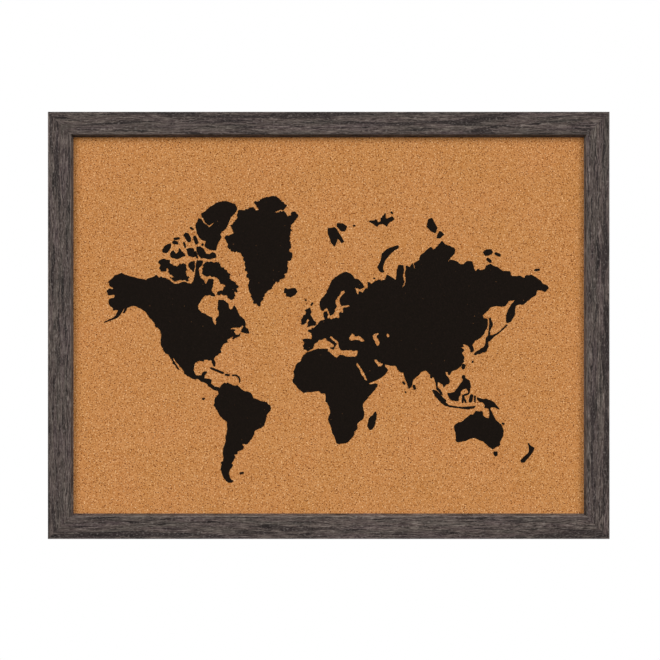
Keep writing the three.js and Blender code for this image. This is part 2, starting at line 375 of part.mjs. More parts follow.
    [10.9, 34.7], [10.2, 33.9], [12.6, 33.6], [15.4, 33], [17.2, 31.9], [19, 31.4], [20, 32.3],
    [20.6, 33.4], [23, 33.4], [25.2, 32.6], [29, 31.9], [31.2, 32.3], [33.4, 32], [34.3, 32.4],
    [35.2, 33.3], [35.9, 35.3], [35.9, 36.6], [34.2, 36.5], [32.5, 36.1], [30.6, 36.8], [28, 36.6],
    [26, 36.7], [24, 36.4], [22.5, 36.5], [21.3, 37.6], [20.2, 39.3], [19.4, 41], [19.2, 42],
    [16.5, 43.6], [14.8, 45], [13.6, 45.4], [12.5, 44.4], [13.6, 43.6], [14.8, 42.3], [16.2, 41.6],
    [17.8, 40.7], [18.4, 40], [17, 40.4], [17.1, 39], [16.2, 38], [15.4, 36.8], [12.5, 37.8],
    [13, 38.2], [15.5, 38.3], [15.9, 39.3], [14.5, 40.7], [12.4, 41.8], [10.6, 42.8], [9.8, 44.1],
    [8.2, 44.1], [6.5, 43.2], [4.5, 43.4], [3.2, 42.8], [3.1, 41.8], [0.8, 40.9], [-0.2, 39.5],
    [-0.3, 38.5], [-1.6, 37.4], [-3.5, 36.7], [-5.3, 36.1],
  ], [
    [34.8, 28.4], [36, 26.4], [38, 23], [39.6, 20], [41.8, 16.6], [42.8, 14.4], [41.9, 14.2],
    [40.5, 15.3], [38.6, 17.5], [37, 19.5], [36.3, 21.8], [35, 24], [33.8, 26.6],
  ], [
    [48.5, 30], [50.2, 29.9], [51.5, 27.9], [54, 26.6], [55.6, 26.9], [55.4, 25.6], [54.2, 24.6],
    [51.8, 24.8], [50.4, 26.4], [49, 28.2],
  ], [
    [30, 45.9], [31.2, 46.8], [32.3, 46.2], [33.4, 45.6], [33.2, 44.7], [35.5, 45.1], [37, 45.3],
    [39.3, 44], [41.6, 42.3], [41.3, 41.9], [38.5, 41.6], [35.5, 42.5], [33, 42.5], [30.5, 42.1],
    [28.8, 42.6], [28.4, 43.4], [28.7, 44.4],
  ], [
    [47, 45.3], [49, 46.5], [51.5, 47], [53.2, 46.7], [51.2, 45.2], [50.8, 44.3], [52.8, 42.4],
    [53.2, 41], [52.8, 39.6], [51.6, 38.8], [50.4, 39.2], [49.8, 40.2], [49.2, 41.5], [47.8, 43],
    [47.3, 44.4],
  ], [
    [58.4, 45.2], [59.3, 46.4], [61, 46.4], [61.8, 45.3], [61, 44], [59.4, 43.9],
  ]],
};

// The four rails, each from its own corner, going round the board from the lower left.
// A rail's own axes run along it, towards the wall and inwards.
const sides = [
  { name: 'bottom', corner: 'bottom_left', x: -boardWidth / 2, z: bottomZ, length: boardWidth,
    pointShares: longRailPointShares },
  { name: 'right', corner: 'bottom_right', x: boardWidth / 2, z: bottomZ, length: boardHeight,
    pointShares: shortRailPointShares, screwAt: boardHeight - hangerDrop - screwDrop },
  { name: 'top', corner: 'top_right', x: boardWidth / 2, z: topZ, length: boardWidth,
    pointShares: longRailPointShares },
  { name: 'left', corner: 'top_left', x: -boardWidth / 2, z: topZ, length: boardHeight,
    pointShares: shortRailPointShares, screwAt: hangerDrop + screwDrop },
];

// Materials
function material(color, roughness, metalness) {
  return new THREE.MeshStandardMaterial({ color, roughness, metalness });
}

const foilMaterial = () => material(0x51473f, 0.55, 0);
const corkMaterial = () => material(0xbe834d, 0.9, 0);
const softboardMaterial = () => material(0xa8906c, 0.95, 0);
const hardboardMaterial = () => material(0x6b4a2e, 0.7, 0);
const inkMaterial = () => material(0x1a1614, 0.7, 0);
const nailMaterial = () => material(0x8d8f92, 0.4, 1);
const pointMaterial = () => material(0x6f7174, 0.45, 1);
const zincMaterial = () => material(0xb9bcc0, 0.3, 1);
const rubberMaterial = () => material(0x1c1c1c, 0.8, 0);

// A closed mesh as a solid for joining and cutting
function toSolid(geometry) {
  const bare = geometry.clone();
  bare.deleteAttribute('normal');
  bare.deleteAttribute('uv');
  const merged = mergeVertices(bare);
  const vertProperties = new Float32Array(merged.attributes.position.array);
  const triVerts = new Uint32Array(merged.index.array);
  return new wasm.Manifold(new wasm.Mesh({ numProp: 3, vertProperties, triVerts }));
}

// A solid back as a flat-shaded geometry
function toGeometry(solid) {
  const { vertProperties, triVerts } = solid.getMesh();
  const geometry = new THREE.BufferGeometry();
  geometry.setAttribute('position', new THREE.BufferAttribute(vertProperties, 3));
  geometry.setIndex(new THREE.BufferAttribute(triVerts, 1));
  const faceted = geometry.toNonIndexed();
  faceted.computeVertexNormals();
  return faceted;
}

// A geometry with every cutter taken out of it
function cut(geometry, cutters) {
  const cutSolid = cutters.reduce((solid, cutter) => solid.subtract(toSolid(cutter)), toSolid(geometry));
  return toGeometry(cutSolid);
}

function namedMesh(name, geometry, surface) {
  const mesh = new THREE.Mesh(geometry, surface);
  mesh.name = name;
  return mesh;
}

// A shape drawn in X and Z, as a slab whose back face is at the given Y
function slab(shape, thickness, slabBackY, curveSegments = easeSteps) {
  const options = { depth: thickness, bevelEnabled: false, curveSegments };
  return new THREE.ExtrudeGeometry(shape, options).rotateX(quarterTurn).translate(0, slabBackY, 0);
}

// A shape drawn in Y and Z, carried along X from zero to the given length
function alongX(shape, length, curveSegments) {
  const options = { depth: length, bevelEnabled: false, curveSegments };
  const turn = new THREE.Matrix4().makeBasis(
    new THREE.Vector3(0, 1, 0), new THREE.Vector3(0, 0, 1), new THREE.Vector3(1, 0, 0));
  return new THREE.ExtrudeGeometry(shape, options).applyMatrix4(turn);
}

// A box between two corners
function boxBetween(lowX, highX, lowY, highY, lowZ, highZ) {
  const geometry = new THREE.BoxGeometry(highX - lowX, highY - lowY, highZ - lowZ);
  return geometry.translate((lowX + highX) / 2, (lowY + highY) / 2, (lowZ + highZ) / 2);
}

// Points of an arc, both ends included
function arcPoints(centreX, centreY, radius, from, to, steps) {
  return Array.from({ length: steps + 1 }, (_, step) => {
    const angle = from + (to - from) * step / steps;
    return new THREE.Vector2(centreX + radius * Math.cos(angle), centreY + radius * Math.sin(angle));
  });
}

// A rail's section in Y and Z: flat face, eased arrises, and the rebate behind the lip
function railProfile() {
  const shape = new THREE.Shape();
  shape.moveTo(frontY + outerEase, 0);
  shape.lineTo(backY - backEase, 0);
  shape.lineTo(backY, backEase);
  shape.lineTo(backY, rebateWall);
  shape.lineTo(corkY, rebateWall);
  shape.lineTo(corkY, railWidth);
  shape.lineTo(frontY + innerEase, railWidth);
  shape.absarc(frontY + innerEase, railWidth - innerEase, innerEase, quarterTurn, 2 * quarterTurn, false);
  shape.lineTo(frontY, outerEase);
  shape.absarc(frontY + outerEase, outerEase, outerEase, 2 * quarterTurn, 3 * quarterTurn, false);
  return shape;
}

// The section carried along the rail, each end slid by its own distance from the outer edge,
// which makes the mitres, less half the mitre gap
function mitredRail(length) {
  const geometry = alongX(railProfile(), length, easeSteps);
  const places = geometry.attributes.position;
  const gapShift = mitreGap * Math.SQRT1_2;
  for (let i = 0; i < places.count; i += 1) {
    const slide = places.getZ(i) + gapShift;
    const atStart = places.getX(i) < length / 2;
    places.setX(i, atStart ? slide : length - slide);
  }
  return geometry;
}

// The V of a nail at a rail's own corner, grown all round by a clearance
function nailShape(inset, grow) {
  const low = inset - grow;
  const web = inset + nailThickness + grow;
  const end = inset + nailWing + grow;
  const shape = new THREE.Shape();
  shape.moveTo(low, low);
  shape.lineTo(end, low);
  shape.lineTo(end, web);
  shape.lineTo(web, web);
  shape.lineTo(web, end);
  shape.lineTo(low, end);
  return shape;
}

function nailSlot(inset) {
  const depth = nailHeight + nailRecess + fitGap + overrun;
  return slab(nailShape(inset, fitGap), depth, backY + overrun);
}

function vNail(name, inset) {
  return namedMesh(name, slab(nailShape(inset, 0), nailHeight, backY - nailRecess), nailMaterial());
}

// A framer's point in a rail's own axes: its tip in the rebate wall, its tab on the back panel
function pointShape(middle) {
  const tip = rebateWall - pointBite;
  const end = tip + pointLength;
  const half = pointWidth / 2;
  const shape = new THREE.Shape();
  shape.moveTo(middle, tip);
  shape.lineTo(middle + half, tip + pointTip);
  shape.lineTo(middle + half, end - pointCorner);
  shape.lineTo(middle + half - pointCorner, end);
  shape.lineTo(middle - half + pointCorner, end);
  shape.lineTo(middle - half, end - pointCorner);
  shape.lineTo(middle - half, tip + pointTip);
  return shape;
}

function pointSlot(middle) {
  const half = pointWidth / 2 + fitGap;
  return boxBetween(middle - half, middle + half, stackY - fitGap, stackY + pointThickness + fitGap,
    rebateWall - pointBite - fitGap, rebateWall + overrun);
}

function framersPoint(name, middle) {
  const geometry = slab(pointShape(middle), pointThickness, stackY + pointThickness);
  return namedMesh(name, geometry, pointMaterial());
}

// The pilot hole of a hanger's screw, in a rail's own axes
function pilotHole(middle) {
  const depth = screwLength - leavesY + fitGap + overrun;
  const radius = shankRadius + fitGap;
  const hole = new THREE.CylinderGeometry(radius, radius, depth, latheSteps);
  return hole.translate(middle, backY + overrun - depth / 2, backFaceMiddle);
}

// The turn and shift from the next rail's axes to this one's
function nextCorner(length) {
  return new THREE.Matrix4().makeRotationY(-quarterTurn).setPosition(length, 0, 0);
}

function railCutters(side) {
  const cutters = side.pointShares.map((share) => pointSlot(share * side.length));
  for (const inset of [outerNailInset, innerNailInset]) {
    cutters.push(nailSlot(inset));
    cutters.push(nailSlot(inset).applyMatrix4(nextCorner(side.length)));
  }
  if (side.screwAt) {
    cutters.push(pilotHole(side.screwAt));
  }
  return cutters;
}

// A rail with the nails of its own corner and the points along it
function frameSide(side, turns) {
  const group = new THREE.Group();
  group.position.set(side.x, 0, side.z);
  group.rotation.y = -turns * quarterTurn;
  const railGeometry = cut(mitredRail(side.length), railCutters(side));
  group.add(namedMesh(`frame_rail_${side.name}`, railGeometry, foilMaterial()));
  group.add(vNail(`v_nail_${side.corner}_outer`, outerNailInset));
  group.add(vNail(`v_nail_${side.corner}_inner`, innerNailInset));
  side.pointShares.forEach((share, index) => {
    group.add(framersPoint(`point_${side.name}_${index + 1}`, share * side.length));
  });
  return group;
}

// A panel that fills the rebate from one Y to the next
function panel(name, panelFrontY, panelBackY, surface) {
  const halfWidth = boardWidth / 2 - rebateWall - panelClearance;
  const halfHeight = boardHeight / 2 - rebateWall - panelClearance;
  const geometry = boxBetween(-halfWidth, halfWidth, panelFrontY, panelBackY,
    middleZ - halfHeight, middleZ + halfHeight);
  return namedMesh(name, geometry, surface);
}

function panelStack() {
  const group = new THREE.Group();
  group.add(panel('cork_sheet', corkY, coreY, corkMaterial()));
  group.add(panel('core_board', coreY, backingY, softboardMaterial()));
  group.add(panel('back_panel', backingY, stackY, hardboardMaterial()));
  return group;
}

// Mercator's projection. The margins give the globe's radius and Greenwich's place across.
const { degToRad } = THREE.MathUtils;
const longitudeShares = Object.values(coastShares).flat(2).map(([longitude]) => longitude);
const westEnd = degToRad(Math.min(...longitudeShares));
const eastEnd = degToRad(Math.max(...longitudeShares));
const sightWidth = boardWidth - 2 * railWidth;
const globeRadius = (sightWidth - westMargin - eastMargin) / (eastEnd - westEnd);
const greenwichX = westMargin - sightWidth / 2 - globeRadius * westEnd;
const equatorZ = middleZ - equatorDropShare * globeRadius;

function onBoard([longitude, latitude]) {
  const northing = Math.log(Math.tan((quarterTurn + degToRad(latitude)) / 2));
  return new THREE.Vector2(greenwichX + globeRadius * degToRad(longitude), equatorZ + globeRadius * northing);
}

function printedLand(name, rings) {
  const [coast, ...seas] = rings.map((ring) => ring.map(onBoard));
  const shape = new THREE.Shape(coast);
  shape.holes = seas.map((sea) => new THREE.Path(sea.reverse()));
  return namedMesh(`print_${name}`, slab(shape, inkThickness, corkY), inkMaterial());
}

function worldMap() {
  const group = new THREE.Group();
  for (const [name, rings] of Object.entries(coastShares)) {
    group.add(printedLand(name, rings));
  }
  return group;
}

// The strap's edge in Y and Z: two leaves against the rail, and a loop round the ring's bar
function strapProfile() {
  const shape = new THREE.Shape();
  const crease = -Math.acos((leavesY - loopRadius) / loopRadius);
  shape.moveTo(0, -strapLength);
  shape.lineTo(0, 0);
  shape.absarc(loopRadius, 0, loopRadius, 2 * quarterTurn, crease, true);
  shape.lineTo(leavesY, -strapLength);
  const eye = new THREE.Path();
  eye.absarc(loopRadius, 0, wireRadius + fitGap, 0, 4 * quarterTurn, false);
  shape.holes.push(eye);
  return shape;
}

// The strap seen from behind: straight sides and a round lower end
function strapOutline() {
  const half = strapWidth / 2;
  const shape = new THREE.Shape();
  shape.moveTo(half, loopRadius + overrun);
  shape.lineTo(-half, loopRadius + overrun);
  shape.lineTo(-half, half - strapLength);
  shape.absarc(0, half - strapLength, half, 2 * quarterTurn, 4 * quarterTurn, false);
  return shape;
}

function strap(name) {
  const folded = alongX(strapProfile(), strapWidth + 2 * overrun, strapSteps);
  folded.translate(-strapWidth / 2 - overrun, 0, 0);
  const height = 2 * (loopRadius + overrun);
  const outline = slab(strapOutline(), height, height - overrun, strapSteps);
  const radius = shankRadius + fitGap;
  const hole = new THREE.CylinderGeometry(radius, radius, height, latheSteps);
  hole.translate(0, 0, -screwDrop);
  const trimmed = toSolid(folded).intersect(toSolid(outline)).subtract(toSolid(hole));
  return namedMesh(name, toGeometry(trimmed), zincMaterial());
}

// The middle line of the ring's wire, round the D from one end of the bar to the other
function ringPath() {
  const bar = ringHalfWidth - ringCorner;
  const bowCentre = ringHalfWidth - ringReach;
  return [
    ...arcPoints(bar, -ringCorner, ringCorner, quarterTurn, 0, cornerSteps),
    ...arcPoints(0, bowCentre, ringHalfWidth, 0, -2 * quarterTurn, bowSteps),
    ...arcPoints(-bar, -ringCorner, ringCorner, 2 * quarterTurn, quarterTurn, cornerSteps),
  ];
}

// A round wire carried along a closed path in X and Z
function closedWire(path, radius) {
  const positions = [];
  const indices = [];
  const count = path.length;
  for (let i = 0; i < count; i += 1) {
    const before = path[(i + count - 1) % count];
    const after = path[(i + 1) % count];
    const outward = new THREE.Vector2(before.y - after.y, after.x - before.x).normalize();
    for (let side = 0; side < wireSides; side += 1) {
      const angle = 4 * quarterTurn * side / wireSides;
      const place = path[i].clone().addScaledVector(outward, radius * Math.cos(angle));
      positions.push(place.x, radius * Math.sin(angle), place.y);
      const here = i * wireSides;
      const next = ((i + 1) % count) * wireSides;
      const turned = (side + 1) % wireSides;
      indices.push(here + side, next + side, here + turned);
      indices.push(next + side, next + turned, here + turned);
    }
  }
  const geometry = new THREE.BufferGeometry();
  geometry.setAttribute('position', new THREE.Float32BufferAttribute(positions, 3));
  geometry.setIndex(indices);
  geometry.computeVertexNormals();
  return geometry;
}

// The ring hangs from its bar, tipped just enough for its bow to lie clear of the strap
function ring(name) {
  const mesh = namedMesh(name, closedWire(ringPath(), wireRadius), zincMaterial());
  mesh.position.y = loopRadius;
  mesh.rotation.x = Math.asin((leavesY + restGap + wireRadius - loopRadius) / ringReach);
  return mesh;
}

// A pan-head screw along Y with a cross recess, its head on the strap
function screw(name) {
  const domeShare = (headHeight - headRim) / headRadius;
  const dome = arcPoints(0, 0, headRadius, 0, quarterTurn, roundSteps).map(({ x, y }) =>
    new THREE.Vector2(x, headRim + domeShare * y));
  dome[roundSteps].x = 0;
  const outline = [
    new THREE.Vector2(0, -screwLength),
    new THREE.Vector2(shankRadius, screwTip - screwLength),
    new THREE.Vector2(shankRadius, 0),
    new THREE.Vector2(headRadius, 0),
    ...dome,
  ];
  const body = new THREE.LatheGeometry(outline, latheSteps);
  const floor = headHeight - recessDepth;
  const roof = headHeight + overrun;
  const slots = [
    boxBetween(-recessLength / 2, recessLength / 2, floor, roof, -recessWidth / 2, recessWidth / 2),
    boxBetween(-recessWidth / 2, recessWidth / 2, floor, roof, -recessLength / 2, recessLength / 2),
  ];
  const mesh = namedMesh(name, cut(body, slots), zincMaterial());
  mesh.position.set(0, leavesY, -screwDrop);
  return mesh;
}

function hanger(sideName, x) {
  const group = new THREE.Group();
  group.position.set(x, backY, barZ);
  group.add(strap(`hanger_strap_${sideName}`));
  group.add(ring(`hanger_ring_${sideName}`));
  group.add(screw(`hanger_screw_${sideName}`));
  return group;
}

// A turned rubber foot, flat where it meets the wall
function bumper(name, x) {
  const faceRadius = bumperRadius - bumperRound;
  const outline = [
    new THREE.Vector2(0, 0),
    new THREE.Vector2(bumperRadius, 0),
    ...arcPoints(faceRadius, bumperHeight - bumperRound, bumperRound, 0, quarterTurn, roundSteps),
    new THREE.Vector2(0, bumperHeight),
  ];
  const mesh = namedMesh(name, new THREE.LatheGeometry(outline, latheSteps), rubberMaterial());
  mesh.position.set(x, backY, bottomZ + backFaceMiddle);
  return mesh;
}

// The whole board
function memoBoard() {
  const hangerX = boardWidth / 2 - backFaceMiddle;
  const bumperX = boardWidth / 2 - bumperInset;
  const group = new THREE.Group();
  sides.forEach((side, turns) => group.add(frameSide(side, turns)));
  group.add(panelStack());
  group.add(worldMap());
  group.add(hanger('left', -hangerX));
  group.add(hanger('right', hangerX));
  group.add(bumper('bumper_left', -bumperX));
  group.add(bumper('bumper_right', bumperX));
  return group;
}

export default memoBoard();
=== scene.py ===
"""Memo board: a sheet of cork with a printed map, in a mitred frame, with D-ring hangers behind."""

import math

import bmesh
import bpy
import numpy as np
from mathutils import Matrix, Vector
from mathutils.geometry import delaunay_2d_cdt


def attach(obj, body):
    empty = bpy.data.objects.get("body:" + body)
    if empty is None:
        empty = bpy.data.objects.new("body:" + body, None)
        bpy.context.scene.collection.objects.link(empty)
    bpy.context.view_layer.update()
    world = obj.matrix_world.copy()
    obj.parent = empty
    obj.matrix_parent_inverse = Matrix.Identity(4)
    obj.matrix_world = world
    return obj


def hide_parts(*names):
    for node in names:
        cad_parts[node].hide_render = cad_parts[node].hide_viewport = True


MM = 0.001

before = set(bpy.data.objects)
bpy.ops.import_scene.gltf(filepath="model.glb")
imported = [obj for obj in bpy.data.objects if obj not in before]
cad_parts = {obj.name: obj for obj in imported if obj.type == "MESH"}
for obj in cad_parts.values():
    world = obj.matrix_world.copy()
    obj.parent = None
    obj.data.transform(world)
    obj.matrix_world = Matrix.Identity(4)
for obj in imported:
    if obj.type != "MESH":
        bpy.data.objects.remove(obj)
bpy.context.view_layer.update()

# ---------------------------------------------------------------- sizes, in millimetres

BOARD_WIDTH, BOARD_HEIGHT = 585, 445
TOP_Z, BOTTOM_Z = 57.5, -387.5
FRONT_Y, CORK_Y, BACK_Y = -22.5, -16.5, -4.5
RAIL_WIDTH, REBATE_WALL = 24, 16
MITRE_GAP = 0.06
INK_THICKNESS = 0.2


# ---------------------------------------------------------------- nodes and colours

def hex_colour(text):
    """sRGB hex to the linear colour that a shader takes."""
    parts = np.array([int(text[i:i + 2], 16) / 255 for i in (1, 3, 5)])
    linear = np.where(parts <= 0.04045, parts / 12.92, ((parts + 0.055) / 1.055) ** 2.4)
    return (*linear, 1.0)


def add(tree, kind, inputs=None, **settings):
    """Adds a node with its settings, and with its inputs set or linked."""
    made = tree.nodes.new("ShaderNode" + kind)
    for name, value in settings.items():
        setattr(made, name, value)
    for name, value in (inputs or {}).items():
        if isinstance(value, bpy.types.NodeSocket):
            tree.links.new(value, made.inputs[name])
        else:
            made.inputs[name].default_value = value
    return made


def ramp(tree, value, stops):
    """Colours spread over a value from 0 to 1: stops are pairs of place and hex colour."""
    made = add(tree, "ValToRGB", {"Fac": value})
    elements = made.color_ramp.elements
    while len(elements) < len(stops):
        elements.new(0.5)
    for element, (place, colour) in zip(elements, stops):
        element.position = place
        element.color = hex_colour(colour)
    return made.outputs["Color"]


def between(tree, value, low, high, new_low=0.0, new_high=1.0):
    """A value that runs from low to high made to run from new_low to new_high, and held there."""
    made = add(tree, "MapRange", {"Value": value, "From Min": low, "From Max": high,
                                  "To Min": new_low, "To Max": new_high})
    return made.outputs["Result"]


def blended(tree, share, first, second):
    """The colour first where share is 0 and second where it is 1. Either may be a hex colour."""
    first, second = (hex_colour(colour) if isinstance(colour, str) else colour for colour in (first, second))
    made = add(tree, "Mix", {"Factor": share, "A": first, "B": second}, data_type="RGBA")
    return made.outputs["Result"]


def reckoned(tree, operation, *values):
    """What a Math node with this operation makes of the values."""
    return add(tree, "Math", dict(enumerate(values)), operation=operation).outputs[0]


def start(name, **constants):
    """A new material, its node tree and its shader."""
    material = bpy.data.materials.new(name)
    material.use_nodes = True
    tree = material.node_tree
    shader = tree.nodes["Principled BSDF"]
    for socket, value in constants.items():
        shader.inputs[socket.replace("_", " ")].default_value = value
    return material, tree, shader


def dress(tree, shader, colour, height, strength, depth, roughness=None):
    """Links to the shader its colour, its roughness where that varies, and a bump of this strength
    that is depth millimetres deep."""
    tree.links.new(colour, shader.inputs["Base Color"])
    if roughness is not None:
        tree.links.new(roughness, shader.inputs["Roughness"])
    bump = add(tree, "Bump", {"Strength": strength, "Distance": depth * MM, "Height": height})
    tree.links.new(bump.outputs[0], shader.inputs["Normal"])


def stretched(tree, place, sizes):
    """Coordinates for a pattern whose features are as long, wide and deep as sizes, in millimetres.
    One size stands for all three."""
    return add(tree, "VectorMath", {0: place, 1: tuple(1 / np.broadcast_to(sizes, 3))},
               operation="MULTIPLY").outputs[0]


def object_place(tree):
    """Object coordinates in millimetres."""
    return stretched(tree, add(tree, "TexCoord").outputs["Object"], MM)


def noise(tree, place, sizes, detail=2.0, roughness=0.5, distortion=0.0):
    """Cloudy noise with features of these sizes in millimetres, from 0 to 1."""
    made = add(tree, "TexNoise", {"Vector": stretched(tree, place, sizes), "Scale": 1.0, "Detail": detail,
                                  "Roughness": roughness, "Distortion": distortion})
    return made.outputs["Fac"]


# ---------------------------------------------------------------- materials

# Millimetres across a granule of cork, and how far its edges wander
GRANULE, GRANULE_WANDER = 1.2, 0.7


def cork_granules(tree, in_mm):
    """Pressed granules of about 1 mm: a tone for each granule, and how far inside it a point is."""
    wander = add(tree, "TexNoise", {"Vector": stretched(tree, in_mm, GRANULE), "Scale": 1.0, "Detail": 2.0})
    bent = add(tree, "VectorMath", {0: wander.outputs["Color"], 1: (GRANULE_WANDER,) * 3, 2: in_mm},
               operation="MULTIPLY_ADD").outputs[0]
    cells = {"Vector": stretched(tree, bent, GRANULE), "Scale": 1.0, "Randomness": 1.0}
    granule = add(tree, "TexVoronoi", cells)
    seam = add(tree, "TexVoronoi", cells, feature="DISTANCE_TO_EDGE")
    tone = add(tree, "SeparateColor", {"Color": granule.outputs["Color"]}).outputs["Red"]
    return tone, seam.outputs["Distance"]


def agglomerated_cork():
    """Cork granules pressed with binder and sanded: warm brown, no shine, a lighter or darker
    tone in each granule, dark seams and now and then a fleck of dark bark or of pale, cut cork."""
    material, tree, shader = start("agglomerated cork, sanded", Roughness=0.85, Specular_IOR_Level=0.12)
    in_mm = object_place(tree)
    tone, seam = cork_granules(tree, in_mm)
    fine = noise(tree, in_mm, 0.8, roughness=0.6)
    mixed = reckoned(tree, "MULTIPLY_ADD", tone, 0.5, reckoned(tree, "MULTIPLY", fine, 0.6))
    mixed = reckoned(tree, "MULTIPLY_ADD", noise(tree, in_mm, 3.5), 0.25, mixed)
    body = ramp(tree, mixed, [(0.30, "#a05e1a"), (0.46, "#ba7a40"), (0.62, "#c6884e"), (0.82, "#cd9159"),
                              (1.0, "#dda36a")])
    body = blended(tree, between(tree, seam, 0.0, 0.2, 0.6, 0.0), body, "#9a5812")
    tint = ramp(tree, noise(tree, in_mm, 45), [(0.3, "#c98d5c"), (0.7, "#b98a50")])
    body = blended(tree, 0.16, body, tint)
    bark = between(tree, noise(tree, in_mm, 1.25, detail=1.0), 0.60, 0.66)
    body = blended(tree, bark, body, "#673004")
    elsewhere = add(tree, "Mapping", {"Vector": in_mm, "Location": (37.0, 11.0, 53.0)}).outputs[0]
    pale = between(tree, noise(tree, elsewhere, 1.4, detail=1.0), 0.62, 0.70, 0.0, 0.85)
    body = blended(tree, pale, body, "#f4c590")
    height = reckoned(tree, "ADD", between(tree, seam, 0.0, 0.3), fine)
    dress(tree, shader, body, height, 0.35, 0.15)
    return material


def screen_ink():
    """Matt black screen ink on cork: nearly black and slightly brown, takes the granules' relief,
    a little greyer on their tops, with a pinhole here and there where a seam took no ink."""
    material, tree, shader = start("screen ink, matt black", Specular_IOR_Level=0.04)
    in_mm = object_place(tree)
    tone, seam = cork_granules(tree, in_mm)
    fine = noise(tree, in_mm, 0.9, detail=3.0, roughness=0.6)
    body = ramp(tree, fine, [(0.3, "#0e0a06"), (0.55, "#140e0a"), (0.8, "#211812")])
    pinhole = between(tree, noise(tree, in_mm, 1.5, detail=0.0), 0.845, 0.87)
    body = blended(tree, pinhole, body, "#7a5230")
    height = reckoned(tree, "ADD", between(tree, seam, 0.0, 0.3), fine)
    dress(tree, shader, body, height, 0.22, 0.1, between(tree, tone, 0.0, 1.0, 0.55, 0.75))
    return material


def printed_foil():
    """Paper foil printed with weathered oak and wrapped round the moulding: dark grey-brown, matt
    lacquer, wavy grain along the rail with streaks of 10 to 50 mm, a front face made darker
    towards its outer edge, fine dark pores and worn, paler edges. It reads the rail's own map: U is
    the way along the rail and V the way round it, in millimetres."""
    material, tree, shader = start("printed paper foil, weathered oak", Specular_IOR_Level=0.12)
    way = add(tree, "UVMap", uv_map="unrolled").outputs["UV"]
    wave = noise(tree, way, (55, 9, 1))
    knots = noise(tree, way, (16, 5, 1), detail=1.0)
    shift = reckoned(tree, "MULTIPLY_ADD", wave, 7.0, reckoned(tree, "MULTIPLY", knots, 2.6))
    sideways = add(tree, "CombineXYZ", {"Y": shift}).outputs[0]
    bent = add(tree, "VectorMath", {0: way, 1: sideways}, operation="ADD").outputs[0]
    grain = noise(tree, bent, (12, 1.1, 1), detail=3.0, roughness=0.66)
    body = ramp(tree, grain, [(0.37, "#191413"), (0.45, "#3d3330"), (0.51, "#564b47"), (0.58, "#6b6059"),
                              (0.67, "#8b8079")])
    stripe = between(tree, noise(tree, way, (400, 7, 1), detail=1.0), 0.35, 0.65, 0.42, 0.0)
    body = blended(tree, stripe, body, "#2a2423")
    tint = ramp(tree, noise(tree, way, (60, 7, 1)), [(0.35, "#55524a"), (0.5, "#574c47"), (0.65, "#5f5052")])
    body = blended(tree, 0.25, body, tint)
    # The front face is made darker towards its outer edge: the dark figure is spread further there.
    outer = between(tree, add(tree, "SeparateXYZ", {0: way}).outputs["Y"], 25.0, 36.0, 0.045, -0.04)
    figure_darker_outwards = reckoned(tree, "ADD", noise(tree, bent, (80, 7, 1)), outer)
    body = blended(tree, between(tree, figure_darker_outwards, 0.56, 0.58, 0.0, 0.7), body, "#1a1415")
    streak = between(tree, noise(tree, bent, (45, 1.4, 1)), 0.55, 0.61, 0.0, 0.8)
    body = blended(tree, streak, body, "#130f0f")
    pores = between(tree, noise(tree, bent, (4, 1.1, 1), detail=1.5), 0.58, 0.70)
    body = blended(tree, reckoned(tree, "MULTIPLY", pores, 0.75), body, "#171311")
    flecks = between(tree, noise(tree, bent, (3.0, 0.9, 1), detail=1.0), 0.55, 0.75, 0.0, 0.5)
    body = blended(tree, flecks, body, "#847b76")
    wear = add(tree, "Attribute", attribute_name="wear").outputs["Fac"]
    rubbed = reckoned(tree, "MULTIPLY", wear, between(tree, grain, 0.35, 0.7, 0.05, 0.45))
    body = blended(tree, rubbed, body, "#8b827c")
    height = reckoned(tree, "SUBTRACT", grain, pores)
    dress(tree, shader, body, height, 0.3, 0.12, between(tree, grain, 0.3, 0.7, 0.62, 0.48))
    return material


def raw_fibreboard():
    """MDF as it leaves the moulder, where the foil stops: tan, fuzzy and without shine, with
    clumps of fine fibre and darker flecks along X."""
    material, tree, shader = start("MDF, raw moulded face", Roughness=0.9, Specular_IOR_Level=0.2)
    in_mm = object_place(tree)
    fibre = noise(tree, in_mm, 0.7, detail=4.0, roughness=0.7)
    mixed = reckoned(tree, "ADD", fibre, noise(tree, in_mm, 2.5, detail=3.0))
    body = ramp(tree, between(tree, mixed, 0.6, 1.4), [(0.0, "#80664a"), (0.5, "#a0845f"), (1.0, "#baa07b")])
    flecks = between(tree, noise(tree, in_mm, (1.6, 0.5, 0.5), detail=1.0), 0.68, 0.75, 0.0, 0.7)
    body = blended(tree, flecks, body, "#5f4529")
    dress(tree, shader, body, fibre, 0.4, 0.15)
    return material


def hardboard():
    """Wet-pressed hardboard: a smooth brown face, mottled, with darker bark specks and pale fibres
    lying every way, and a dull sheen from the hot plate."""
    material, tree, shader = start("hardboard, smooth side", Specular_IOR_Level=0.35)
    in_mm = object_place(tree)
    mottle = noise(tree, in_mm, 5, detail=5.0, roughness=0.7)
    fibres = 0.0
    for degrees in (15, 70, 130, 165):
        turned = add(tree, "Mapping", {"Vector": in_mm, "Rotation": (0, math.radians(degrees), 0),
                                       "Location": (degrees, 0, 0)}).outputs[0]
        lying = noise(tree, turned, (7.0, 1.0, 0.7), distortion=0.4)
        fibres = reckoned(tree, "MAXIMUM", lying, fibres)
    body = ramp(tree, mottle, [(0.25, "#5c3f29"), (0.5, "#6d4c33"), (0.75, "#7b5a3d")])
    body = blended(tree, between(tree, fibres, 0.62, 0.78, 0.0, 0.6), body, "#a07e58")
    specks = between(tree, noise(tree, in_mm, 1.0, detail=1.0), 0.69, 0.76, 0.0, 0.8)
    body = blended(tree, specks, body, "#3a2517")
    dress(tree, shader, body, fibres, 0.25, 0.1, between(tree, mottle, 0.3, 0.7, 0.5, 0.68))
    return material


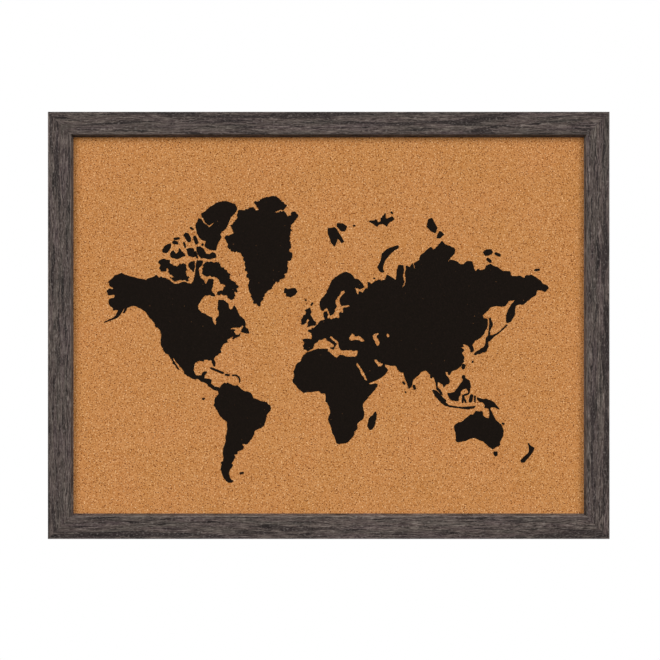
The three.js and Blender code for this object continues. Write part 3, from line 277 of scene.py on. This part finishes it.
def softboard():
    """Insulating fibreboard that takes the pins: pale, open and woolly, so quite without shine."""
    material, tree, shader = start("softboard, open fibre", Roughness=0.95, Specular_IOR_Level=0.15)
    fibre = noise(tree, object_place(tree), (2.5, 1.2, 1.2), detail=5.0, roughness=0.7)
    body = ramp(tree, fibre, [(0.3, "#8d7655"), (0.5, "#b09a74"), (0.7, "#c9b691")])
    dress(tree, shader, body, fibre, 0.6, 0.3)
    return material


def plated_steel(name, pale, dark, low, high):
    """Steel with a plated or rolled skin: metallic, its tone and gloss clouded by handling, with
    fine rolling scratches along Z that are drawn at 0.2 mm, coarser than real, to show. low and
    high are its least and greatest roughness."""
    material, tree, shader = start(name, Metallic=1.0)
    in_mm = object_place(tree)
    clouds = noise(tree, in_mm, 3, detail=4.0, roughness=0.6)
    scratch = noise(tree, in_mm, (0.2, 0.2, 4.0))
    body = ramp(tree, clouds, [(0.3, dark), (0.65, pale)])
    mixed = reckoned(tree, "ADD", clouds, scratch)
    dress(tree, shader, body, scratch, 0.15, 0.05, between(tree, mixed, 0.7, 1.3, low, high))
    return material


def moulded_rubber():
    """Black rubber foot: matt, faintly greyed where it picks up dust, with a finely eroded skin."""
    material, tree, shader = start("moulded rubber, black", Specular_IOR_Level=0.3)
    in_mm = object_place(tree)
    dust = noise(tree, in_mm, 2.2, detail=4.0, roughness=0.65)
    body = ramp(tree, dust, [(0.35, "#1d1d1f"), (0.55, "#29292b"), (0.75, "#454443")])
    dress(tree, shader, body, noise(tree, in_mm, 0.25), 0.3, 0.04, between(tree, dust, 0.3, 0.7, 0.6, 0.82))
    return material


CORK = agglomerated_cork()
INK = screen_ink()
FOIL = printed_foil()
RAW_BOARD = raw_fibreboard()
HARDBOARD = hardboard()
SOFTBOARD = softboard()
ZINC = plated_steel("steel, zinc plated", "#c9c7bf", "#a19f9a", 0.28, 0.45)
NAIL_STEEL = plated_steel("strip steel, oiled", "#8e9097", "#5f6167", 0.35, 0.55)
POINT_STEEL = plated_steel("sheet steel, galvanised", "#b3b6b8", "#85898c", 0.35, 0.5)
RUBBER = moulded_rubber()


# ---------------------------------------------------------------- pieces

def mesh_of(name, places, faces, smooth, *materials):
    """A mesh from places in millimetres. smooth is one truth for all faces, or one for each."""
    mesh = bpy.data.meshes.new(name)
    mesh.from_pydata((np.asarray(places) * MM).tolist(), [], faces)
    mesh.polygons.foreach_set("use_smooth", np.broadcast_to(smooth, len(faces)).copy())
    mesh.update()
    for material in materials:
        mesh.materials.append(material)
    return mesh


def piece(name, mesh, body, slot, *nodes):
    """A mesh as a piece of the object: it rides on body and stands for nodes."""
    made = bpy.data.objects.new(name, mesh)
    bpy.context.scene.collection.objects.link(made)
    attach(made, body)
    if nodes:
        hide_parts(*nodes)
    return made


def grid_faces(rows, columns):
    """Quads over a grid of points that closes on itself both ways."""
    row, column = np.meshgrid(np.arange(rows), np.arange(columns), indexing="ij")
    here = row * columns + column
    right = row * columns + (column + 1) % columns
    below = (row + 1) % rows * columns + column
    corner = (row + 1) % rows * columns + (column + 1) % columns
    return np.stack([here, below, corner, right], axis=-1).reshape(-1, 4)


def turned_corners(corners, radii, steps):
    """A closed outline with round corners. With a and b the unit ways from a corner to the one
    before and the one after, and c the corner plus r times a plus b, the arc is c less r times
    b cos t plus a sin t, for t from 0 to a quarter turn."""
    corners = np.asarray(corners, float)
    before = np.roll(corners, 1, axis=0) - corners
    after = np.roll(corners, -1, axis=0) - corners
    a = (before / np.linalg.norm(before, axis=1, keepdims=True))[:, None]
    b = (after / np.linalg.norm(after, axis=1, keepdims=True))[:, None]
    radius = np.asarray(radii, float)[:, None, None]
    turn = np.linspace(0, math.pi / 2, steps + 1)[None, :, None]
    arcs = corners[:, None] + radius * (a + b) - radius * (b * np.cos(turn) + a * np.sin(turn))
    return arcs.reshape(-1, 2)


EASE_STEPS = 8
# How far the lip's inner face slants in, and how wide the foil is on the back and in the rebate
LIP_DRAFT = 2.3
FOIL_WRAP, FOIL_IN_REBATE = 5, 2
# The moulding's section as Y and the distance in from the board's outer edge, from where the foil
# starts on the back, round the front and over the lip, to where the foil ends in the rebate, and
# then the raw rebate. Each corner has its radius.
SECTION = [
    ((BACK_Y, FOIL_WRAP), 0.05), ((BACK_Y, 0), 0.5), ((FRONT_Y, 0), 1.2), ((FRONT_Y, RAIL_WIDTH), 0.8),
    ((CORK_Y, RAIL_WIDTH + LIP_DRAFT), 0.1), ((CORK_Y, RAIL_WIDTH - FOIL_IN_REBATE), 0.05),
    ((CORK_Y, REBATE_WALL), 0.1), ((BACK_Y, REBATE_WALL), 0.3),
]
# How many of the corners the foil covers, and how many of those are rubbed by handling
FOIL_CORNERS, WORN_CORNERS = 6, 5
# Millimetres between the rails on their common map, so that no two show the same grain
RAIL_APART = 1000


def rail(side, length, corner, quarter_turns):
    """A frame rail: the section carried along X between two ends that slide in by the distance
    from the outer edge, which cuts the mitres, and then turned about Y to its side of the board."""
    points, radii = zip(*SECTION)
    section = turned_corners(points, radii, EASE_STEPS)
    count = len(section)
    here = np.arange(count)
    onward = (here + 1) % count
    corner_number, arc_place = np.divmod(here, EASE_STEPS + 1)
    slide = section[:, 1] + MITRE_GAP * math.sqrt(0.5)
    places = np.concatenate([np.column_stack([at, section[:, 0], -section[:, 1]])
                             for at in (slide, length - slide)])
    quads = np.column_stack([here, onward, onward + count, here + count])
    faces = quads.tolist() + [here[::-1].tolist(), (here + count).tolist()]
    angle = quarter_turns * math.pi / 2
    turned = places @ np.array([[math.cos(angle), 0, -math.sin(angle)], [0, 1, 0],
                                [math.sin(angle), 0, math.cos(angle)]])
    turned += np.array([corner[0], 0, corner[1]])
    smooth = np.append(arc_place < EASE_STEPS, [False, False])
    mesh = mesh_of(f"rail_{side}", turned, faces, smooth, FOIL, RAW_BOARD)
    wrapped = here < (FOIL_CORNERS - 1) * (EASE_STEPS + 1) + EASE_STEPS // 2
    mesh.polygons.foreach_set("material_index", np.append(~wrapped, [True, True]).astype(int))

    along = places[:, 0] + RAIL_APART * quarter_turns
    gaps = np.linalg.norm(section[onward] - section, axis=1)
    around = np.concatenate([[0], np.cumsum(gaps)])
    near, near_on, far_on, far = (
        np.column_stack([along[:count], around[:-1]]), np.column_stack([along[onward], around[1:]]),
        np.column_stack([along[onward + count], around[1:]]), np.column_stack([along[count:], around[:-1]]))
    quad_ways = np.stack([near, near_on, far_on, far], axis=1).reshape(-1, 2)
    unrolled = mesh.uv_layers.new(name="unrolled")
    unrolled.data.foreach_set("uv", np.concatenate([quad_ways, near[::-1], far]).ravel())
    worn = (arc_place > 0) & (arc_place < EASE_STEPS) & (corner_number < WORN_CORNERS)
    wear = mesh.attributes.new("wear", "FLOAT", "POINT")
    wear.data.foreach_set("value", np.tile(worn.astype(float), 2))
    piece(f"rail_{side}", mesh, "board", "frame_foil", f"frame_rail_{side}")


HALF_WIDTH = BOARD_WIDTH / 2
rail("top", BOARD_WIDTH, (-HALF_WIDTH, TOP_Z), 0)
rail("right", BOARD_HEIGHT, (HALF_WIDTH, TOP_Z), 1)
rail("bottom", BOARD_WIDTH, (HALF_WIDTH, BOTTOM_Z), 2)
rail("left", BOARD_HEIGHT, (-HALF_WIDTH, BOTTOM_Z), 3)


# How many digits of a millimetre tell two points apart
PLACE_DIGITS = 4


def merged(node):
    """The CAD solid's points in millimetres and its triangles, with points at one place made one."""
    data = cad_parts[node].data
    places = np.empty(len(data.vertices) * 3)
    data.vertices.foreach_get("co", places)
    corners = np.empty(len(data.loops), int)
    data.loops.foreach_get("vertex_index", corners)
    rounded = np.round(places.reshape(-1, 3) / MM, PLACE_DIGITS)
    unique, index = np.unique(rounded, axis=0, return_inverse=True)
    return unique, index.reshape(-1)[corners].reshape(-1, 3)


# Faces that meet at less than the first angle become one, and edges past the second are rounded
FLAT_ANGLE, SHARP_ANGLE = math.radians(1), math.radians(35)
WELD_DISTANCE = 0.001


def eased(name, node, slot, material, width, lift):
    """The CAD solid with its flat triangles joined and its sharp edges rounded by width. lift is a
    change to its places, or None."""
    places, triangles = merged(node)
    if lift:
        places = lift(places)
    mesh = mesh_of(name, places, triangles.tolist(), True, material)
    build = bmesh.new()
    build.from_mesh(mesh)
    bmesh.ops.dissolve_limit(build, angle_limit=FLAT_ANGLE, verts=build.verts, edges=build.edges)
    build.to_mesh(mesh)
    build.free()
    mesh.set_sharp_from_angle(angle=SHARP_ANGLE)
    made = piece(name, mesh, "board", slot, node)
    bevel = made.modifiers.new("eased edges", "BEVEL")
    bevel.width = width * MM
    bevel.segments = 2
    bevel.limit_method = "ANGLE"
    bevel.angle_limit = SHARP_ANGLE
    bevel.harden_normals = True
    made.modifiers.new("points that met", "WELD").merge_threshold = WELD_DISTANCE * MM


# How far a pressed V-nail stands out, and how deep the CAD nail's back edge lies at most
NAIL_PROUD, NAIL_DEPTH = 0.05, 1


def pressed_home(places):
    """A V-nail's back edge brought out to the rail's back, where the press leaves it."""
    reached = places.copy()
    reached[:, 1] = np.where(places[:, 1] > BACK_Y - NAIL_DEPTH, BACK_Y + NAIL_PROUD, places[:, 1])
    return reached


# The small steel parts by the start of their nodes' names: what that start becomes, and their
# slot, material, rounding in millimetres and change of places
FITTINGS = {
    "v_nail_": ("pressed_v_nail_", "nail_steel", NAIL_STEEL, 0.08, pressed_home),
    "point_": ("framers_point_", "point_steel", POINT_STEEL, 0.08, None),
    "hanger_strap_": ("folded_strap_", "hanger_zinc", ZINC, 0.1, None),
    "hanger_screw_": ("pan_head_screw_", "hanger_zinc", ZINC, 0.08, None),
}

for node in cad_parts:
    for old_start, (new_start, *facts) in FITTINGS.items():
        if node.startswith(old_start):
            eased(new_start + node.removeprefix(old_start), node, *facts)


def rightward(path):
    """The unit way to the right of a closed path at each of its points."""
    ways = np.roll(path, -1, axis=0) - np.roll(path, 1, axis=0)
    return np.column_stack([ways[:, 1], -ways[:, 0]]) / np.linalg.norm(ways, axis=1, keepdims=True)


HANGER_X, BAR_Y, BAR_Z = 284.5, -2.7, -12.5
RING_HALF_WIDTH, RING_CORNER, RING_REACH, WIRE_RADIUS = 6.9, 2.3, 13.5, 1
RING_LIFT = 0.5
RING_TIP = math.asin(RING_LIFT / RING_REACH)
CORNER_STEPS, BOW_STEPS, WIRE_STEPS = 12, 64, 24


def ring(side, x):
    """A D-ring: a round wire carried round the D, which is a straight bar with two tight corners
    and a half circle below, then tipped about the bar so that the bow clears the strap."""
    bar = RING_HALF_WIDTH - RING_CORNER
    bow = RING_HALF_WIDTH - RING_REACH
    corner = np.linspace(math.pi / 2, 0, CORNER_STEPS + 1)
    half = np.linspace(0, -math.pi, BOW_STEPS + 1)
    right = np.column_stack([bar + RING_CORNER * np.cos(corner), -RING_CORNER + RING_CORNER * np.sin(corner)])
    below = np.column_stack([RING_HALF_WIDTH * np.cos(half), bow + RING_HALF_WIDTH * np.sin(half)])
    left = right[::-1] * (-1, 1)
    path = np.concatenate([right, below, left])
    turn = np.linspace(0, 2 * math.pi, WIRE_STEPS, endpoint=False)
    flat = path[:, None] - WIRE_RADIUS * np.cos(turn)[None, :, None] * rightward(path)[:, None]
    proud = np.broadcast_to(WIRE_RADIUS * np.sin(turn), flat.shape[:2])
    places = np.stack([flat[..., 0], proud, flat[..., 1]], axis=-1).reshape(-1, 3)
    tip = np.array([[1, 0, 0], [0, math.cos(RING_TIP), math.sin(RING_TIP)],
                    [0, -math.sin(RING_TIP), math.cos(RING_TIP)]])
    places = places @ tip + (x, BAR_Y, BAR_Z)
    mesh = mesh_of(f"wire_ring_{side}", places, grid_faces(len(path), WIRE_STEPS).tolist(), True, ZINC)
    piece(f"wire_ring_{side}", mesh, f"ring_{side}", "hanger_zinc", f"hanger_ring_{side}")


ring("left", -HANGER_X)
ring("right", HANGER_X)

BUMPER_X, BUMPER_Z, BUMPER_RADIUS, BUMPER_HEIGHT = 252.5, -379.5, 5, 4.5
WAIST, RIM_RADIUS, POLE_RADIUS = 0.25, 1, 0.4
WALL_STEPS, RIM_STEPS, FACE_STEPS, FOOT_STEPS = 8, 8, 5, 48


def foot(side, x):
    """A rubber foot: half its section, with a flared base, a slight waist and a round rim, turned
    about Y. A small flat disc closes it at either pole."""
    inner = BUMPER_RADIUS - RIM_RADIUS
    shoulder = BUMPER_HEIGHT - RIM_RADIUS
    rise = np.linspace(0, 1, WALL_STEPS + 1)
    rim = np.linspace(0, math.pi / 2, RIM_STEPS + 1)[1:]
    wall = np.column_stack([BUMPER_RADIUS - WAIST * np.sin(math.pi * rise), shoulder * rise])
    top = np.column_stack([inner + RIM_RADIUS * np.cos(rim), shoulder + RIM_RADIUS * np.sin(rim)])
    inwards = np.linspace(inner - POLE_RADIUS, POLE_RADIUS, FACE_STEPS + 1)
    face = np.column_stack([inwards, np.full(len(inwards), BUMPER_HEIGHT)])
    section = np.concatenate([[[POLE_RADIUS, 0]], wall, top, face])
    turn = np.linspace(0, 2 * math.pi, FOOT_STEPS, endpoint=False)
    rows, columns = len(section), FOOT_STEPS
    radius, height = section[:, :1], np.broadcast_to(section[:, 1:], (rows, columns))
    places = np.stack([radius * np.cos(turn), height, radius * np.sin(turn)], axis=-1).reshape(-1, 3)
    places = places + (x, BACK_Y, BUMPER_Z)
    faces = grid_faces(rows, columns)[:(rows - 1) * columns].tolist()
    faces += [np.arange(columns).tolist(), ((rows - 1) * columns + np.arange(columns))[::-1].tolist()]
    mesh = mesh_of(f"rubber_foot_{side}", places, faces, True, RUBBER)
    piece(f"rubber_foot_{side}", mesh, "board", "bumper_rubber", f"bumper_{side}")


foot("left", -BUMPER_X)
foot("right", BUMPER_X)

# ---------------------------------------------------------------- the printed map

# Millimetres between the points of a coast, the fewest points that it may have, and how far its
# corners are averaged
COAST_STEP, FEWEST_STEPS, COAST_SOFTNESS = 0.35, 16, 0.5
COAST_RAGGEDNESS, FJORD_RAGGEDNESS = 0.14, 0.55
# Millimetres of coast that one granule pushes, and how much the threads of the screen push beside
INK_GRANULE, THREAD_SHARE = 0.9, 0.4
INK_CREEP = 0.3


def softened(values, reach):
    """Values round a ring averaged with a bell-shaped weight, reach steps wide."""
    waves = np.fft.fftfreq(len(values))
    weight = np.exp(-2 * (math.pi * reach * waves) ** 2)
    weight = weight.reshape(-1, *[1] * (values.ndim - 1))
    return np.fft.ifft(np.fft.fft(values, axis=0) * weight, axis=0).real


GLOBE_RADIUS, GREENWICH_X, EQUATOR_Z = 73.483, -15.6, -241.5


def on_map(places):
    """Longitude and latitude in degrees to X and Z in millimetres, on Mercator's projection: X goes
    with the longitude, and Z with the logarithm of tan of 45 degrees plus half the latitude."""
    turned = np.radians(places)
    return np.stack([GREENWICH_X + GLOBE_RADIUS * turned[..., 0],
                     EQUATOR_Z + GLOBE_RADIUS * np.log(np.tan(math.pi / 4 + turned[..., 1] / 2))], axis=-1)


# Where the printed coasts stray from the CAD films: a place in degrees, how far round it the
# change reaches, and the change to the right and up, all three in millimetres
PULLS = np.array([
    (-164, 67, 3, -2.1, 0), (-165, 64, 4, -2.1, -1.0), (-163, 60, 5, -1.6, -1.0), (-162, 55, 6, 0, -1.0),
    (-90, 76, 3, 0, 1.6), (-93, 75, 3, 1.2, 0), (-85, 80, 5, 0, -1.4), (-76, 78, 5, -0.8, 0),
    (-69, 78, 4, -0.8, 0.8), (-88, 71, 6, -1.0, -0.8), (-91, 71, 5, -0.6, 0), (-63, 48, 3, 1.2, -0.3),
    (38, 65, 4, 0, 1.0), (70, 72, 6, 0.9, 0.4), (113, 76, 4, 1.2, 0.5), (129, 73, 4, 1.0, 0.5),
    (182, 69, 9, 0.5, 0.8), (149, 60, 6, 0, 0.9), (167, 60, 4, 0, 1.7), (159, 57, 8, 0.9, 0),
    (144, 52, 5, 1.0, 0), (146, 45, 4, 0, 1.4), (135, 36, 6, -0.3, 0.8), (127, 38, 4, 1.2, 0),
    (121, 33, 7, 0.8, 0), (122, 16, 4, 1.0, 0.8), (109, 16, 4, 0.9, 0.2), (106, 11, 3, 0, 1.2),
    (100, 9, 6, 1.5, 0), (95, 19, 4, 0.5, 1.0), (123, 4, 3, 0, -1.0), (134, -11, 5, 0.4, 0.7),
    (146, -14, 5, 0.6, 0), (152, -21, 3, -0.8, 0.5), (-3, 51, 3, 0, 0.9), (10, 56, 3, 1.0, 0.3),
    (14, 56, 3, -0.3, 1.0), (-8, 40, 4, 1.4, 0.3), (16, 41, 5, 1.0, 0.5), (13, 35, 3, 1.2, 0.8),
    (36, 44, 7, 0, 0.9), (50, 43, 5, 0.8, 1.0), (60, 45, 3, 0.3, 1.0), (53, 28, 4, 1.2, 1.7),
    (40, 21, 7, 2.1, 0.3), (48, 13, 4, 1.6, 0.8), (59, 25, 3, 1.2, 0.8), (69, 23, 3, -0.6, 0.8),
    (-5, 5, 6, 0, 0.7), (-14, 11, 5, -0.2, 0.9), (-69.6, 11.8, 4, 0, 1.6), (-87.9, 18.2, 2, -1.3, 0),
    (174, -40, 12, 0, -2.0), (148, -40, 4, 0, -1.9), (-68, -55, 8, -0.3, -1.7),
])


def pulled(points):
    """Points moved by each pull times a bell-shaped share of their distance from its place."""
    gaps = np.linalg.norm(points[:, None] - on_map(PULLS[:, :2]), axis=-1)
    return points + np.exp(-0.5 * (gaps / PULLS[:, 2]) ** 2) @ PULLS[:, 3:]


def coast(outline, raggedness, rng):
    """The outline walked at even steps, with its corners averaged, and each point pushed out by the
    creep of the ink between granules, and further out or in by averaged noise."""
    closed = np.vstack([outline, outline[:1]])
    walked = np.concatenate([[0], np.cumsum(np.linalg.norm(np.diff(closed, axis=0), axis=1))])
    count = max(FEWEST_STEPS, int(walked[-1] / COAST_STEP))
    at = np.arange(count) * walked[-1] / count
    points = np.column_stack([np.interp(at, walked, closed[:, axis]) for axis in (0, 1)])
    points = pulled(softened(points, COAST_SOFTNESS / COAST_STEP))
    granules = softened(rng.normal(size=count), INK_GRANULE / COAST_STEP)
    threads = softened(rng.normal(size=count), 1)
    push = granules / granules.std() + THREAD_SHARE * threads / threads.std()
    return points + rightward(points) * (INK_CREEP + raggedness * push)[:, None]


def rim_of(triangles, count):
    """The edges that only one of the triangles has, out of count points. An edge is known by a
    number made of its two ends, and the same edge in its neighbour by the ends the other way."""
    edges = np.concatenate([triangles[:, [0, 1]], triangles[:, [1, 2]], triangles[:, [2, 0]]])
    return edges[~np.isin(edges @ (count, 1), edges @ (1, count))]


def outlines(node):
    """The rings round an ink film's front: the rim of its front triangles, walked edge by edge."""
    places, triangles = merged(node)
    front = triangles[(places[triangles][:, :, 1] < CORK_Y - INK_THICKNESS / 2).all(axis=1)]
    onward = dict(rim_of(front, len(places)).tolist())
    rings = []
    while onward:
        first, point = onward.popitem()
        walk = [first]
        while point != first:
            walk.append(point)
            point = onward.pop(point)
        rings.append(places[walk][:, [0, 2]])
    return rings


def inside(places, starts, ends):
    """Which places lie inside rings whose edges run from starts to ends: those from which a line to
    the right crosses more rising edges than falling ones. An edge is crossed if its ends are above
    and below the place, and it passes right of the place at that height."""
    across, up = places[:, :1], places[:, 1:]
    spans = (starts[:, 1] > up) != (ends[:, 1] > up)
    rise = ends[:, 1] - starts[:, 1]
    slope = (ends[:, 0] - starts[:, 0]) / np.where(rise == 0, 1, rise)
    crossed = spans & (across < starts[:, 0] + (up - starts[:, 1]) * slope)
    return (crossed * np.sign(rise)).sum(axis=1) > 0


# Places closer than this in millimetres are one, and so many triangles are looked at together
SAME_PLACE, TRIANGLES_TOGETHER = 1e-5, 400


def ink_film(name, rings, *nodes):
    """Rings filled with triangles and given the film's thickness: the triangles at the front, the
    same ones turned over at the back, and a wall along each edge of the rim."""
    points = np.concatenate(rings)
    firsts = np.cumsum([0] + [len(ring) for ring in rings])
    onward = np.concatenate([np.roll(np.arange(first, last), -1) for first, last in zip(firsts, firsts[1:])])
    edges = np.column_stack([np.arange(len(points)), onward])
    # Output type 0 fills the hull of all rings, so the triangles outside the rings are left out after
    flat, _, triangles, *_ = delaunay_2d_cdt(points.tolist(), edges.tolist(), [], 0, SAME_PLACE, False)
    flat, front = np.array(flat), np.array(triangles)
    centres = np.array_split(flat[front].mean(axis=1), 1 + len(front) // TRIANGLES_TOGETHER)
    front = front[np.concatenate([inside(block, points, points[onward]) for block in centres])]
    count = len(flat)
    rim = rim_of(front, count)
    walls = np.column_stack([rim[:, 1], rim[:, 0], rim[:, 0] + count, rim[:, 1] + count])
    places = np.concatenate([np.column_stack([flat[:, 0], np.full(count, y), flat[:, 1]])
                             for y in (CORK_Y - INK_THICKNESS, CORK_Y)])
    faces = front.tolist() + (front[:, ::-1] + count).tolist() + walls.tolist()
    piece(name, mesh_of(name, places, faces, False, INK), "board", "ink", *nodes)


# Islets too small for the CAD films: one end and the other in degrees, and the width in millimetres
ISLETS = {
    "arctic": [
        (-103.7, 78.7, -102.0, 78.1, 6.5), (-96.6, 78.4, -95.2, 77.6, 4.5), (-100, 79.9, -98.4, 79.7, 2.2),
        (-113.2, 78.2, -110.1, 78.3, 2.5), (-113.7, 77.6, -111.3, 77.5, 3.7),
        (-105.5, 77.5, -104.5, 76.8, 2.4), (-90.6, 77.2, -90.4, 77.2, 2.7), (-96.2, 75.8, -94.8, 74.7, 2.3),
        (32.6, 80.2, 33.2, 80.2, 2.0), (63.2, 81.9, 64.0, 81.8, 2.2), (148.3, 75.5, 150.9, 75.2, 3.4),
        (141.8, 74.2, 143.4, 73.9, 3.7), (180.3, 71.7, 183.2, 71.8, 2.3), (49.1, 69.5, 49.6, 69.5, 1.7),
    ],
    "west": [
        (-83.5, 24.1, -74.1, 20.5, 2.3), (-71.4, 19.2, -69.2, 18.9, 2.6), (-66.0, 18.8, -63.6, 18.8, 1.8),
        (-63.2, 18.7, -61.0, 17.3, 1.9), (-60.6, 16.7, -60.1, 14.9, 1.9), (-60.1, 14.6, -60.4, 13.5, 1.7),
        (-90, -0.1, -89.7, -0.1, 2.9), (-59.4, -51.7, -57.7, -51.5, 2.5),
        (-6.8, 62.4, -6.4, 62.3, 2.4), (-1.8, 60.5, -1.0, 61.1, 2.2),
    ],
    "east": [
        (121.5, 24.4, 122.2, 26.2, 3.4), (129.0, 28.5, 129.4, 29.1, 1.9), (81.4, 10.2, 82.0, 8.4, 3.0),
        (72.8, 13.3, 73.8, 12.1, 2.1), (74.6, 5.4, 74.8, 5.1, 1.8), (127.6, -1.6, 128.5, 2.2, 3.7),
        (131.1, -2.3, 131.2, 2.1, 1.9), (153.7, -19.7, 154.3, -20.0, 2.1),
    ],
}
# Narrow land that the CAD films leave too thin, in the same way
NECKS = {
    "print_americas": [(-84.2, 11.2, -82.2, 9.4, 3.2), (-81.6, 8.7, -77.5, 7.6, 3.6)],
    "print_britain": [
        (-6.4, 58.1, -3.6, 58.8, 2.5), (-6.0, 56.2, -5.2, 57.6, 2.8), (-8.4, 54.4, -7.3, 55.6, 3.2),
    ],
    "print_afro_eurasia": [(9.6, 56.8, 9.8, 55.6, 4.2), (12.1, 35.1, 13.8, 33.7, 2.6)],
}
# Lands with a more ragged coast
FJORDS = ("print_baffin", "print_greenland", "print_victoria")
STROKE_STEPS, STROKE_SOFTNESS, STROKE_RAGGEDNESS = 24, 1.2, 0.1


def stroke(west, north, east, south, width, rng):
    """Ink between two places on the map: a line of this width with round ends, its radius changed
    by a share of averaged noise."""
    ends = on_map([[west, north], [east, south]])
    middle, way = ends.mean(axis=0), ends[1] - ends[0]
    length = np.linalg.norm(way)
    way = way / length
    turn = np.linspace(0, 2 * math.pi, STROKE_STEPS, endpoint=False)
    swell = softened(rng.normal(size=STROKE_STEPS), STROKE_SOFTNESS)
    size = 1 + STROKE_RAGGEDNESS * swell / swell.std()
    ahead = length / 2 * np.sign(np.cos(turn)) + width / 2 * np.cos(turn) * size
    aside = width / 2 * np.sin(turn) * size
    return middle + ahead[:, None] * way + aside[:, None] * np.array([-way[1], way[0]])


SEED = 7

rng = np.random.default_rng(SEED)
for region, places in ISLETS.items():
    ink_film(f"ink_islets_{region}", [stroke(*place, rng) for place in places])
for node in sorted(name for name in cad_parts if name.startswith("print_")):
    raggedness = FJORD_RAGGEDNESS if node in FJORDS else COAST_RAGGEDNESS
    rings = [coast(outline, raggedness, rng) for outline in outlines(node)]
    rings += [stroke(*place, rng) for place in NECKS.get(node, [])]
    ink_film(node.replace("print_", "ink_"), rings, node)

for node, material in (("cork_sheet", CORK), ("core_board", SOFTBOARD), ("back_panel", HARDBOARD)):
    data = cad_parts[node].data
    data.materials.clear()
    data.materials.append(material)

# ---------------------------------------------------------------- floor, world, lamps and camera

# The photograph shows this width, centred on this point of the board's front, from square on
CENTRE = Vector((1.35, FRONT_Y, -169.8)) * MM
VIEW_WIDTH = 687.1 * MM
DISTANCE = 2.5

camera_data = bpy.data.cameras.new("camera")
camera_data.lens = camera_data.sensor_width * DISTANCE / VIEW_WIDTH
camera = bpy.data.objects.new("camera", camera_data)
camera.location = CENTRE + Vector((0, -DISTANCE, 0))
camera.rotation_euler = (math.radians(90), 0, 0)
bpy.context.scene.collection.objects.link(camera)
bpy.context.scene.camera = camera
bpy.context.scene.view_settings.view_transform = "Standard"

WHITE = (1, 1, 1, 1)
FILL_STRENGTH = 0.06

world = bpy.data.worlds.new("studio")
bpy.context.scene.world = world
world.use_nodes = True
sky = world.node_tree
sky.nodes.clear()
ray = add(sky, "LightPath").outputs
seen = reckoned(sky, "MAXIMUM", ray["Is Camera Ray"], ray["Is Glossy Ray"])
seen = reckoned(sky, "MAXIMUM", seen, ray["Is Transmission Ray"])
fill = add(sky, "Background", {"Color": WHITE, "Strength": FILL_STRENGTH})
white = add(sky, "Background", {"Color": WHITE, "Strength": 1.0})
mixed = add(sky, "MixShader", {0: seen, 1: fill.outputs[0], 2: white.outputs[0]})
add(sky, "OutputWorld", {"Surface": mixed.outputs[0]})

FLOOR_Z, FLOOR_SIDE, FLOOR_FRONT_Y, FLOOR_BACK_Y = -600, 1500, -2500, 550


def floor():
    """A pale floor below the board, short enough behind it to stay out of the photograph's view. It
    throws back less light than it shows, so that it lights the board less from below."""
    material, tree, shader = start("painted board, matt white", Roughness=0.8, Specular_IOR_Level=0.2)
    body = ramp(tree, noise(tree, object_place(tree), 300), [(0.3, "#f0efed"), (0.7, "#f6f5f3")])
    body = blended(tree, add(tree, "LightPath").outputs["Is Camera Ray"], "#7c7b79", body)
    tree.links.new(body, shader.inputs["Base Color"])
    places = [(-FLOOR_SIDE, FLOOR_FRONT_Y, FLOOR_Z), (FLOOR_SIDE, FLOOR_FRONT_Y, FLOOR_Z),
              (FLOOR_SIDE, FLOOR_BACK_Y, FLOOR_Z), (-FLOOR_SIDE, FLOOR_BACK_Y, FLOOR_Z)]
    made = bpy.data.objects.new("floor", mesh_of("floor", places, [[0, 1, 2, 3]], False, material))
    bpy.context.scene.collection.objects.link(made)


# Four softboxes round the board, two of them in front: where they stand and their size, in metres,
# and their power in watts
LAMP_X, LAMP_Y, LAMP_Z = 13.38, 11.1, 9.94
SOFTBOX_WIDTH, SOFTBOX_HEIGHT, SOFTBOX_POWER = 8.1, 13.8, 3573


def softbox(name, place):
    """A softbox at place, turned to the board's middle."""
    data = bpy.data.lights.new(name, "AREA")
    data.shape = "RECTANGLE"
    data.size = SOFTBOX_WIDTH
    data.size_y = SOFTBOX_HEIGHT
    data.energy = SOFTBOX_POWER
    made = bpy.data.objects.new(name, data)
    made.location = place
    made.rotation_euler = (CENTRE - Vector(place)).to_track_quat("-Z", "Y").to_euler()
    bpy.context.scene.collection.objects.link(made)


floor()
softbox("softbox_front_left", (-LAMP_X, -LAMP_Y, LAMP_Z))
softbox("softbox_front_right", (LAMP_X, -LAMP_Y, LAMP_Z))
softbox("softbox_back_left", (-LAMP_X, LAMP_Y, LAMP_Z))
softbox("softbox_back_right", (LAMP_X, LAMP_Y, LAMP_Z))
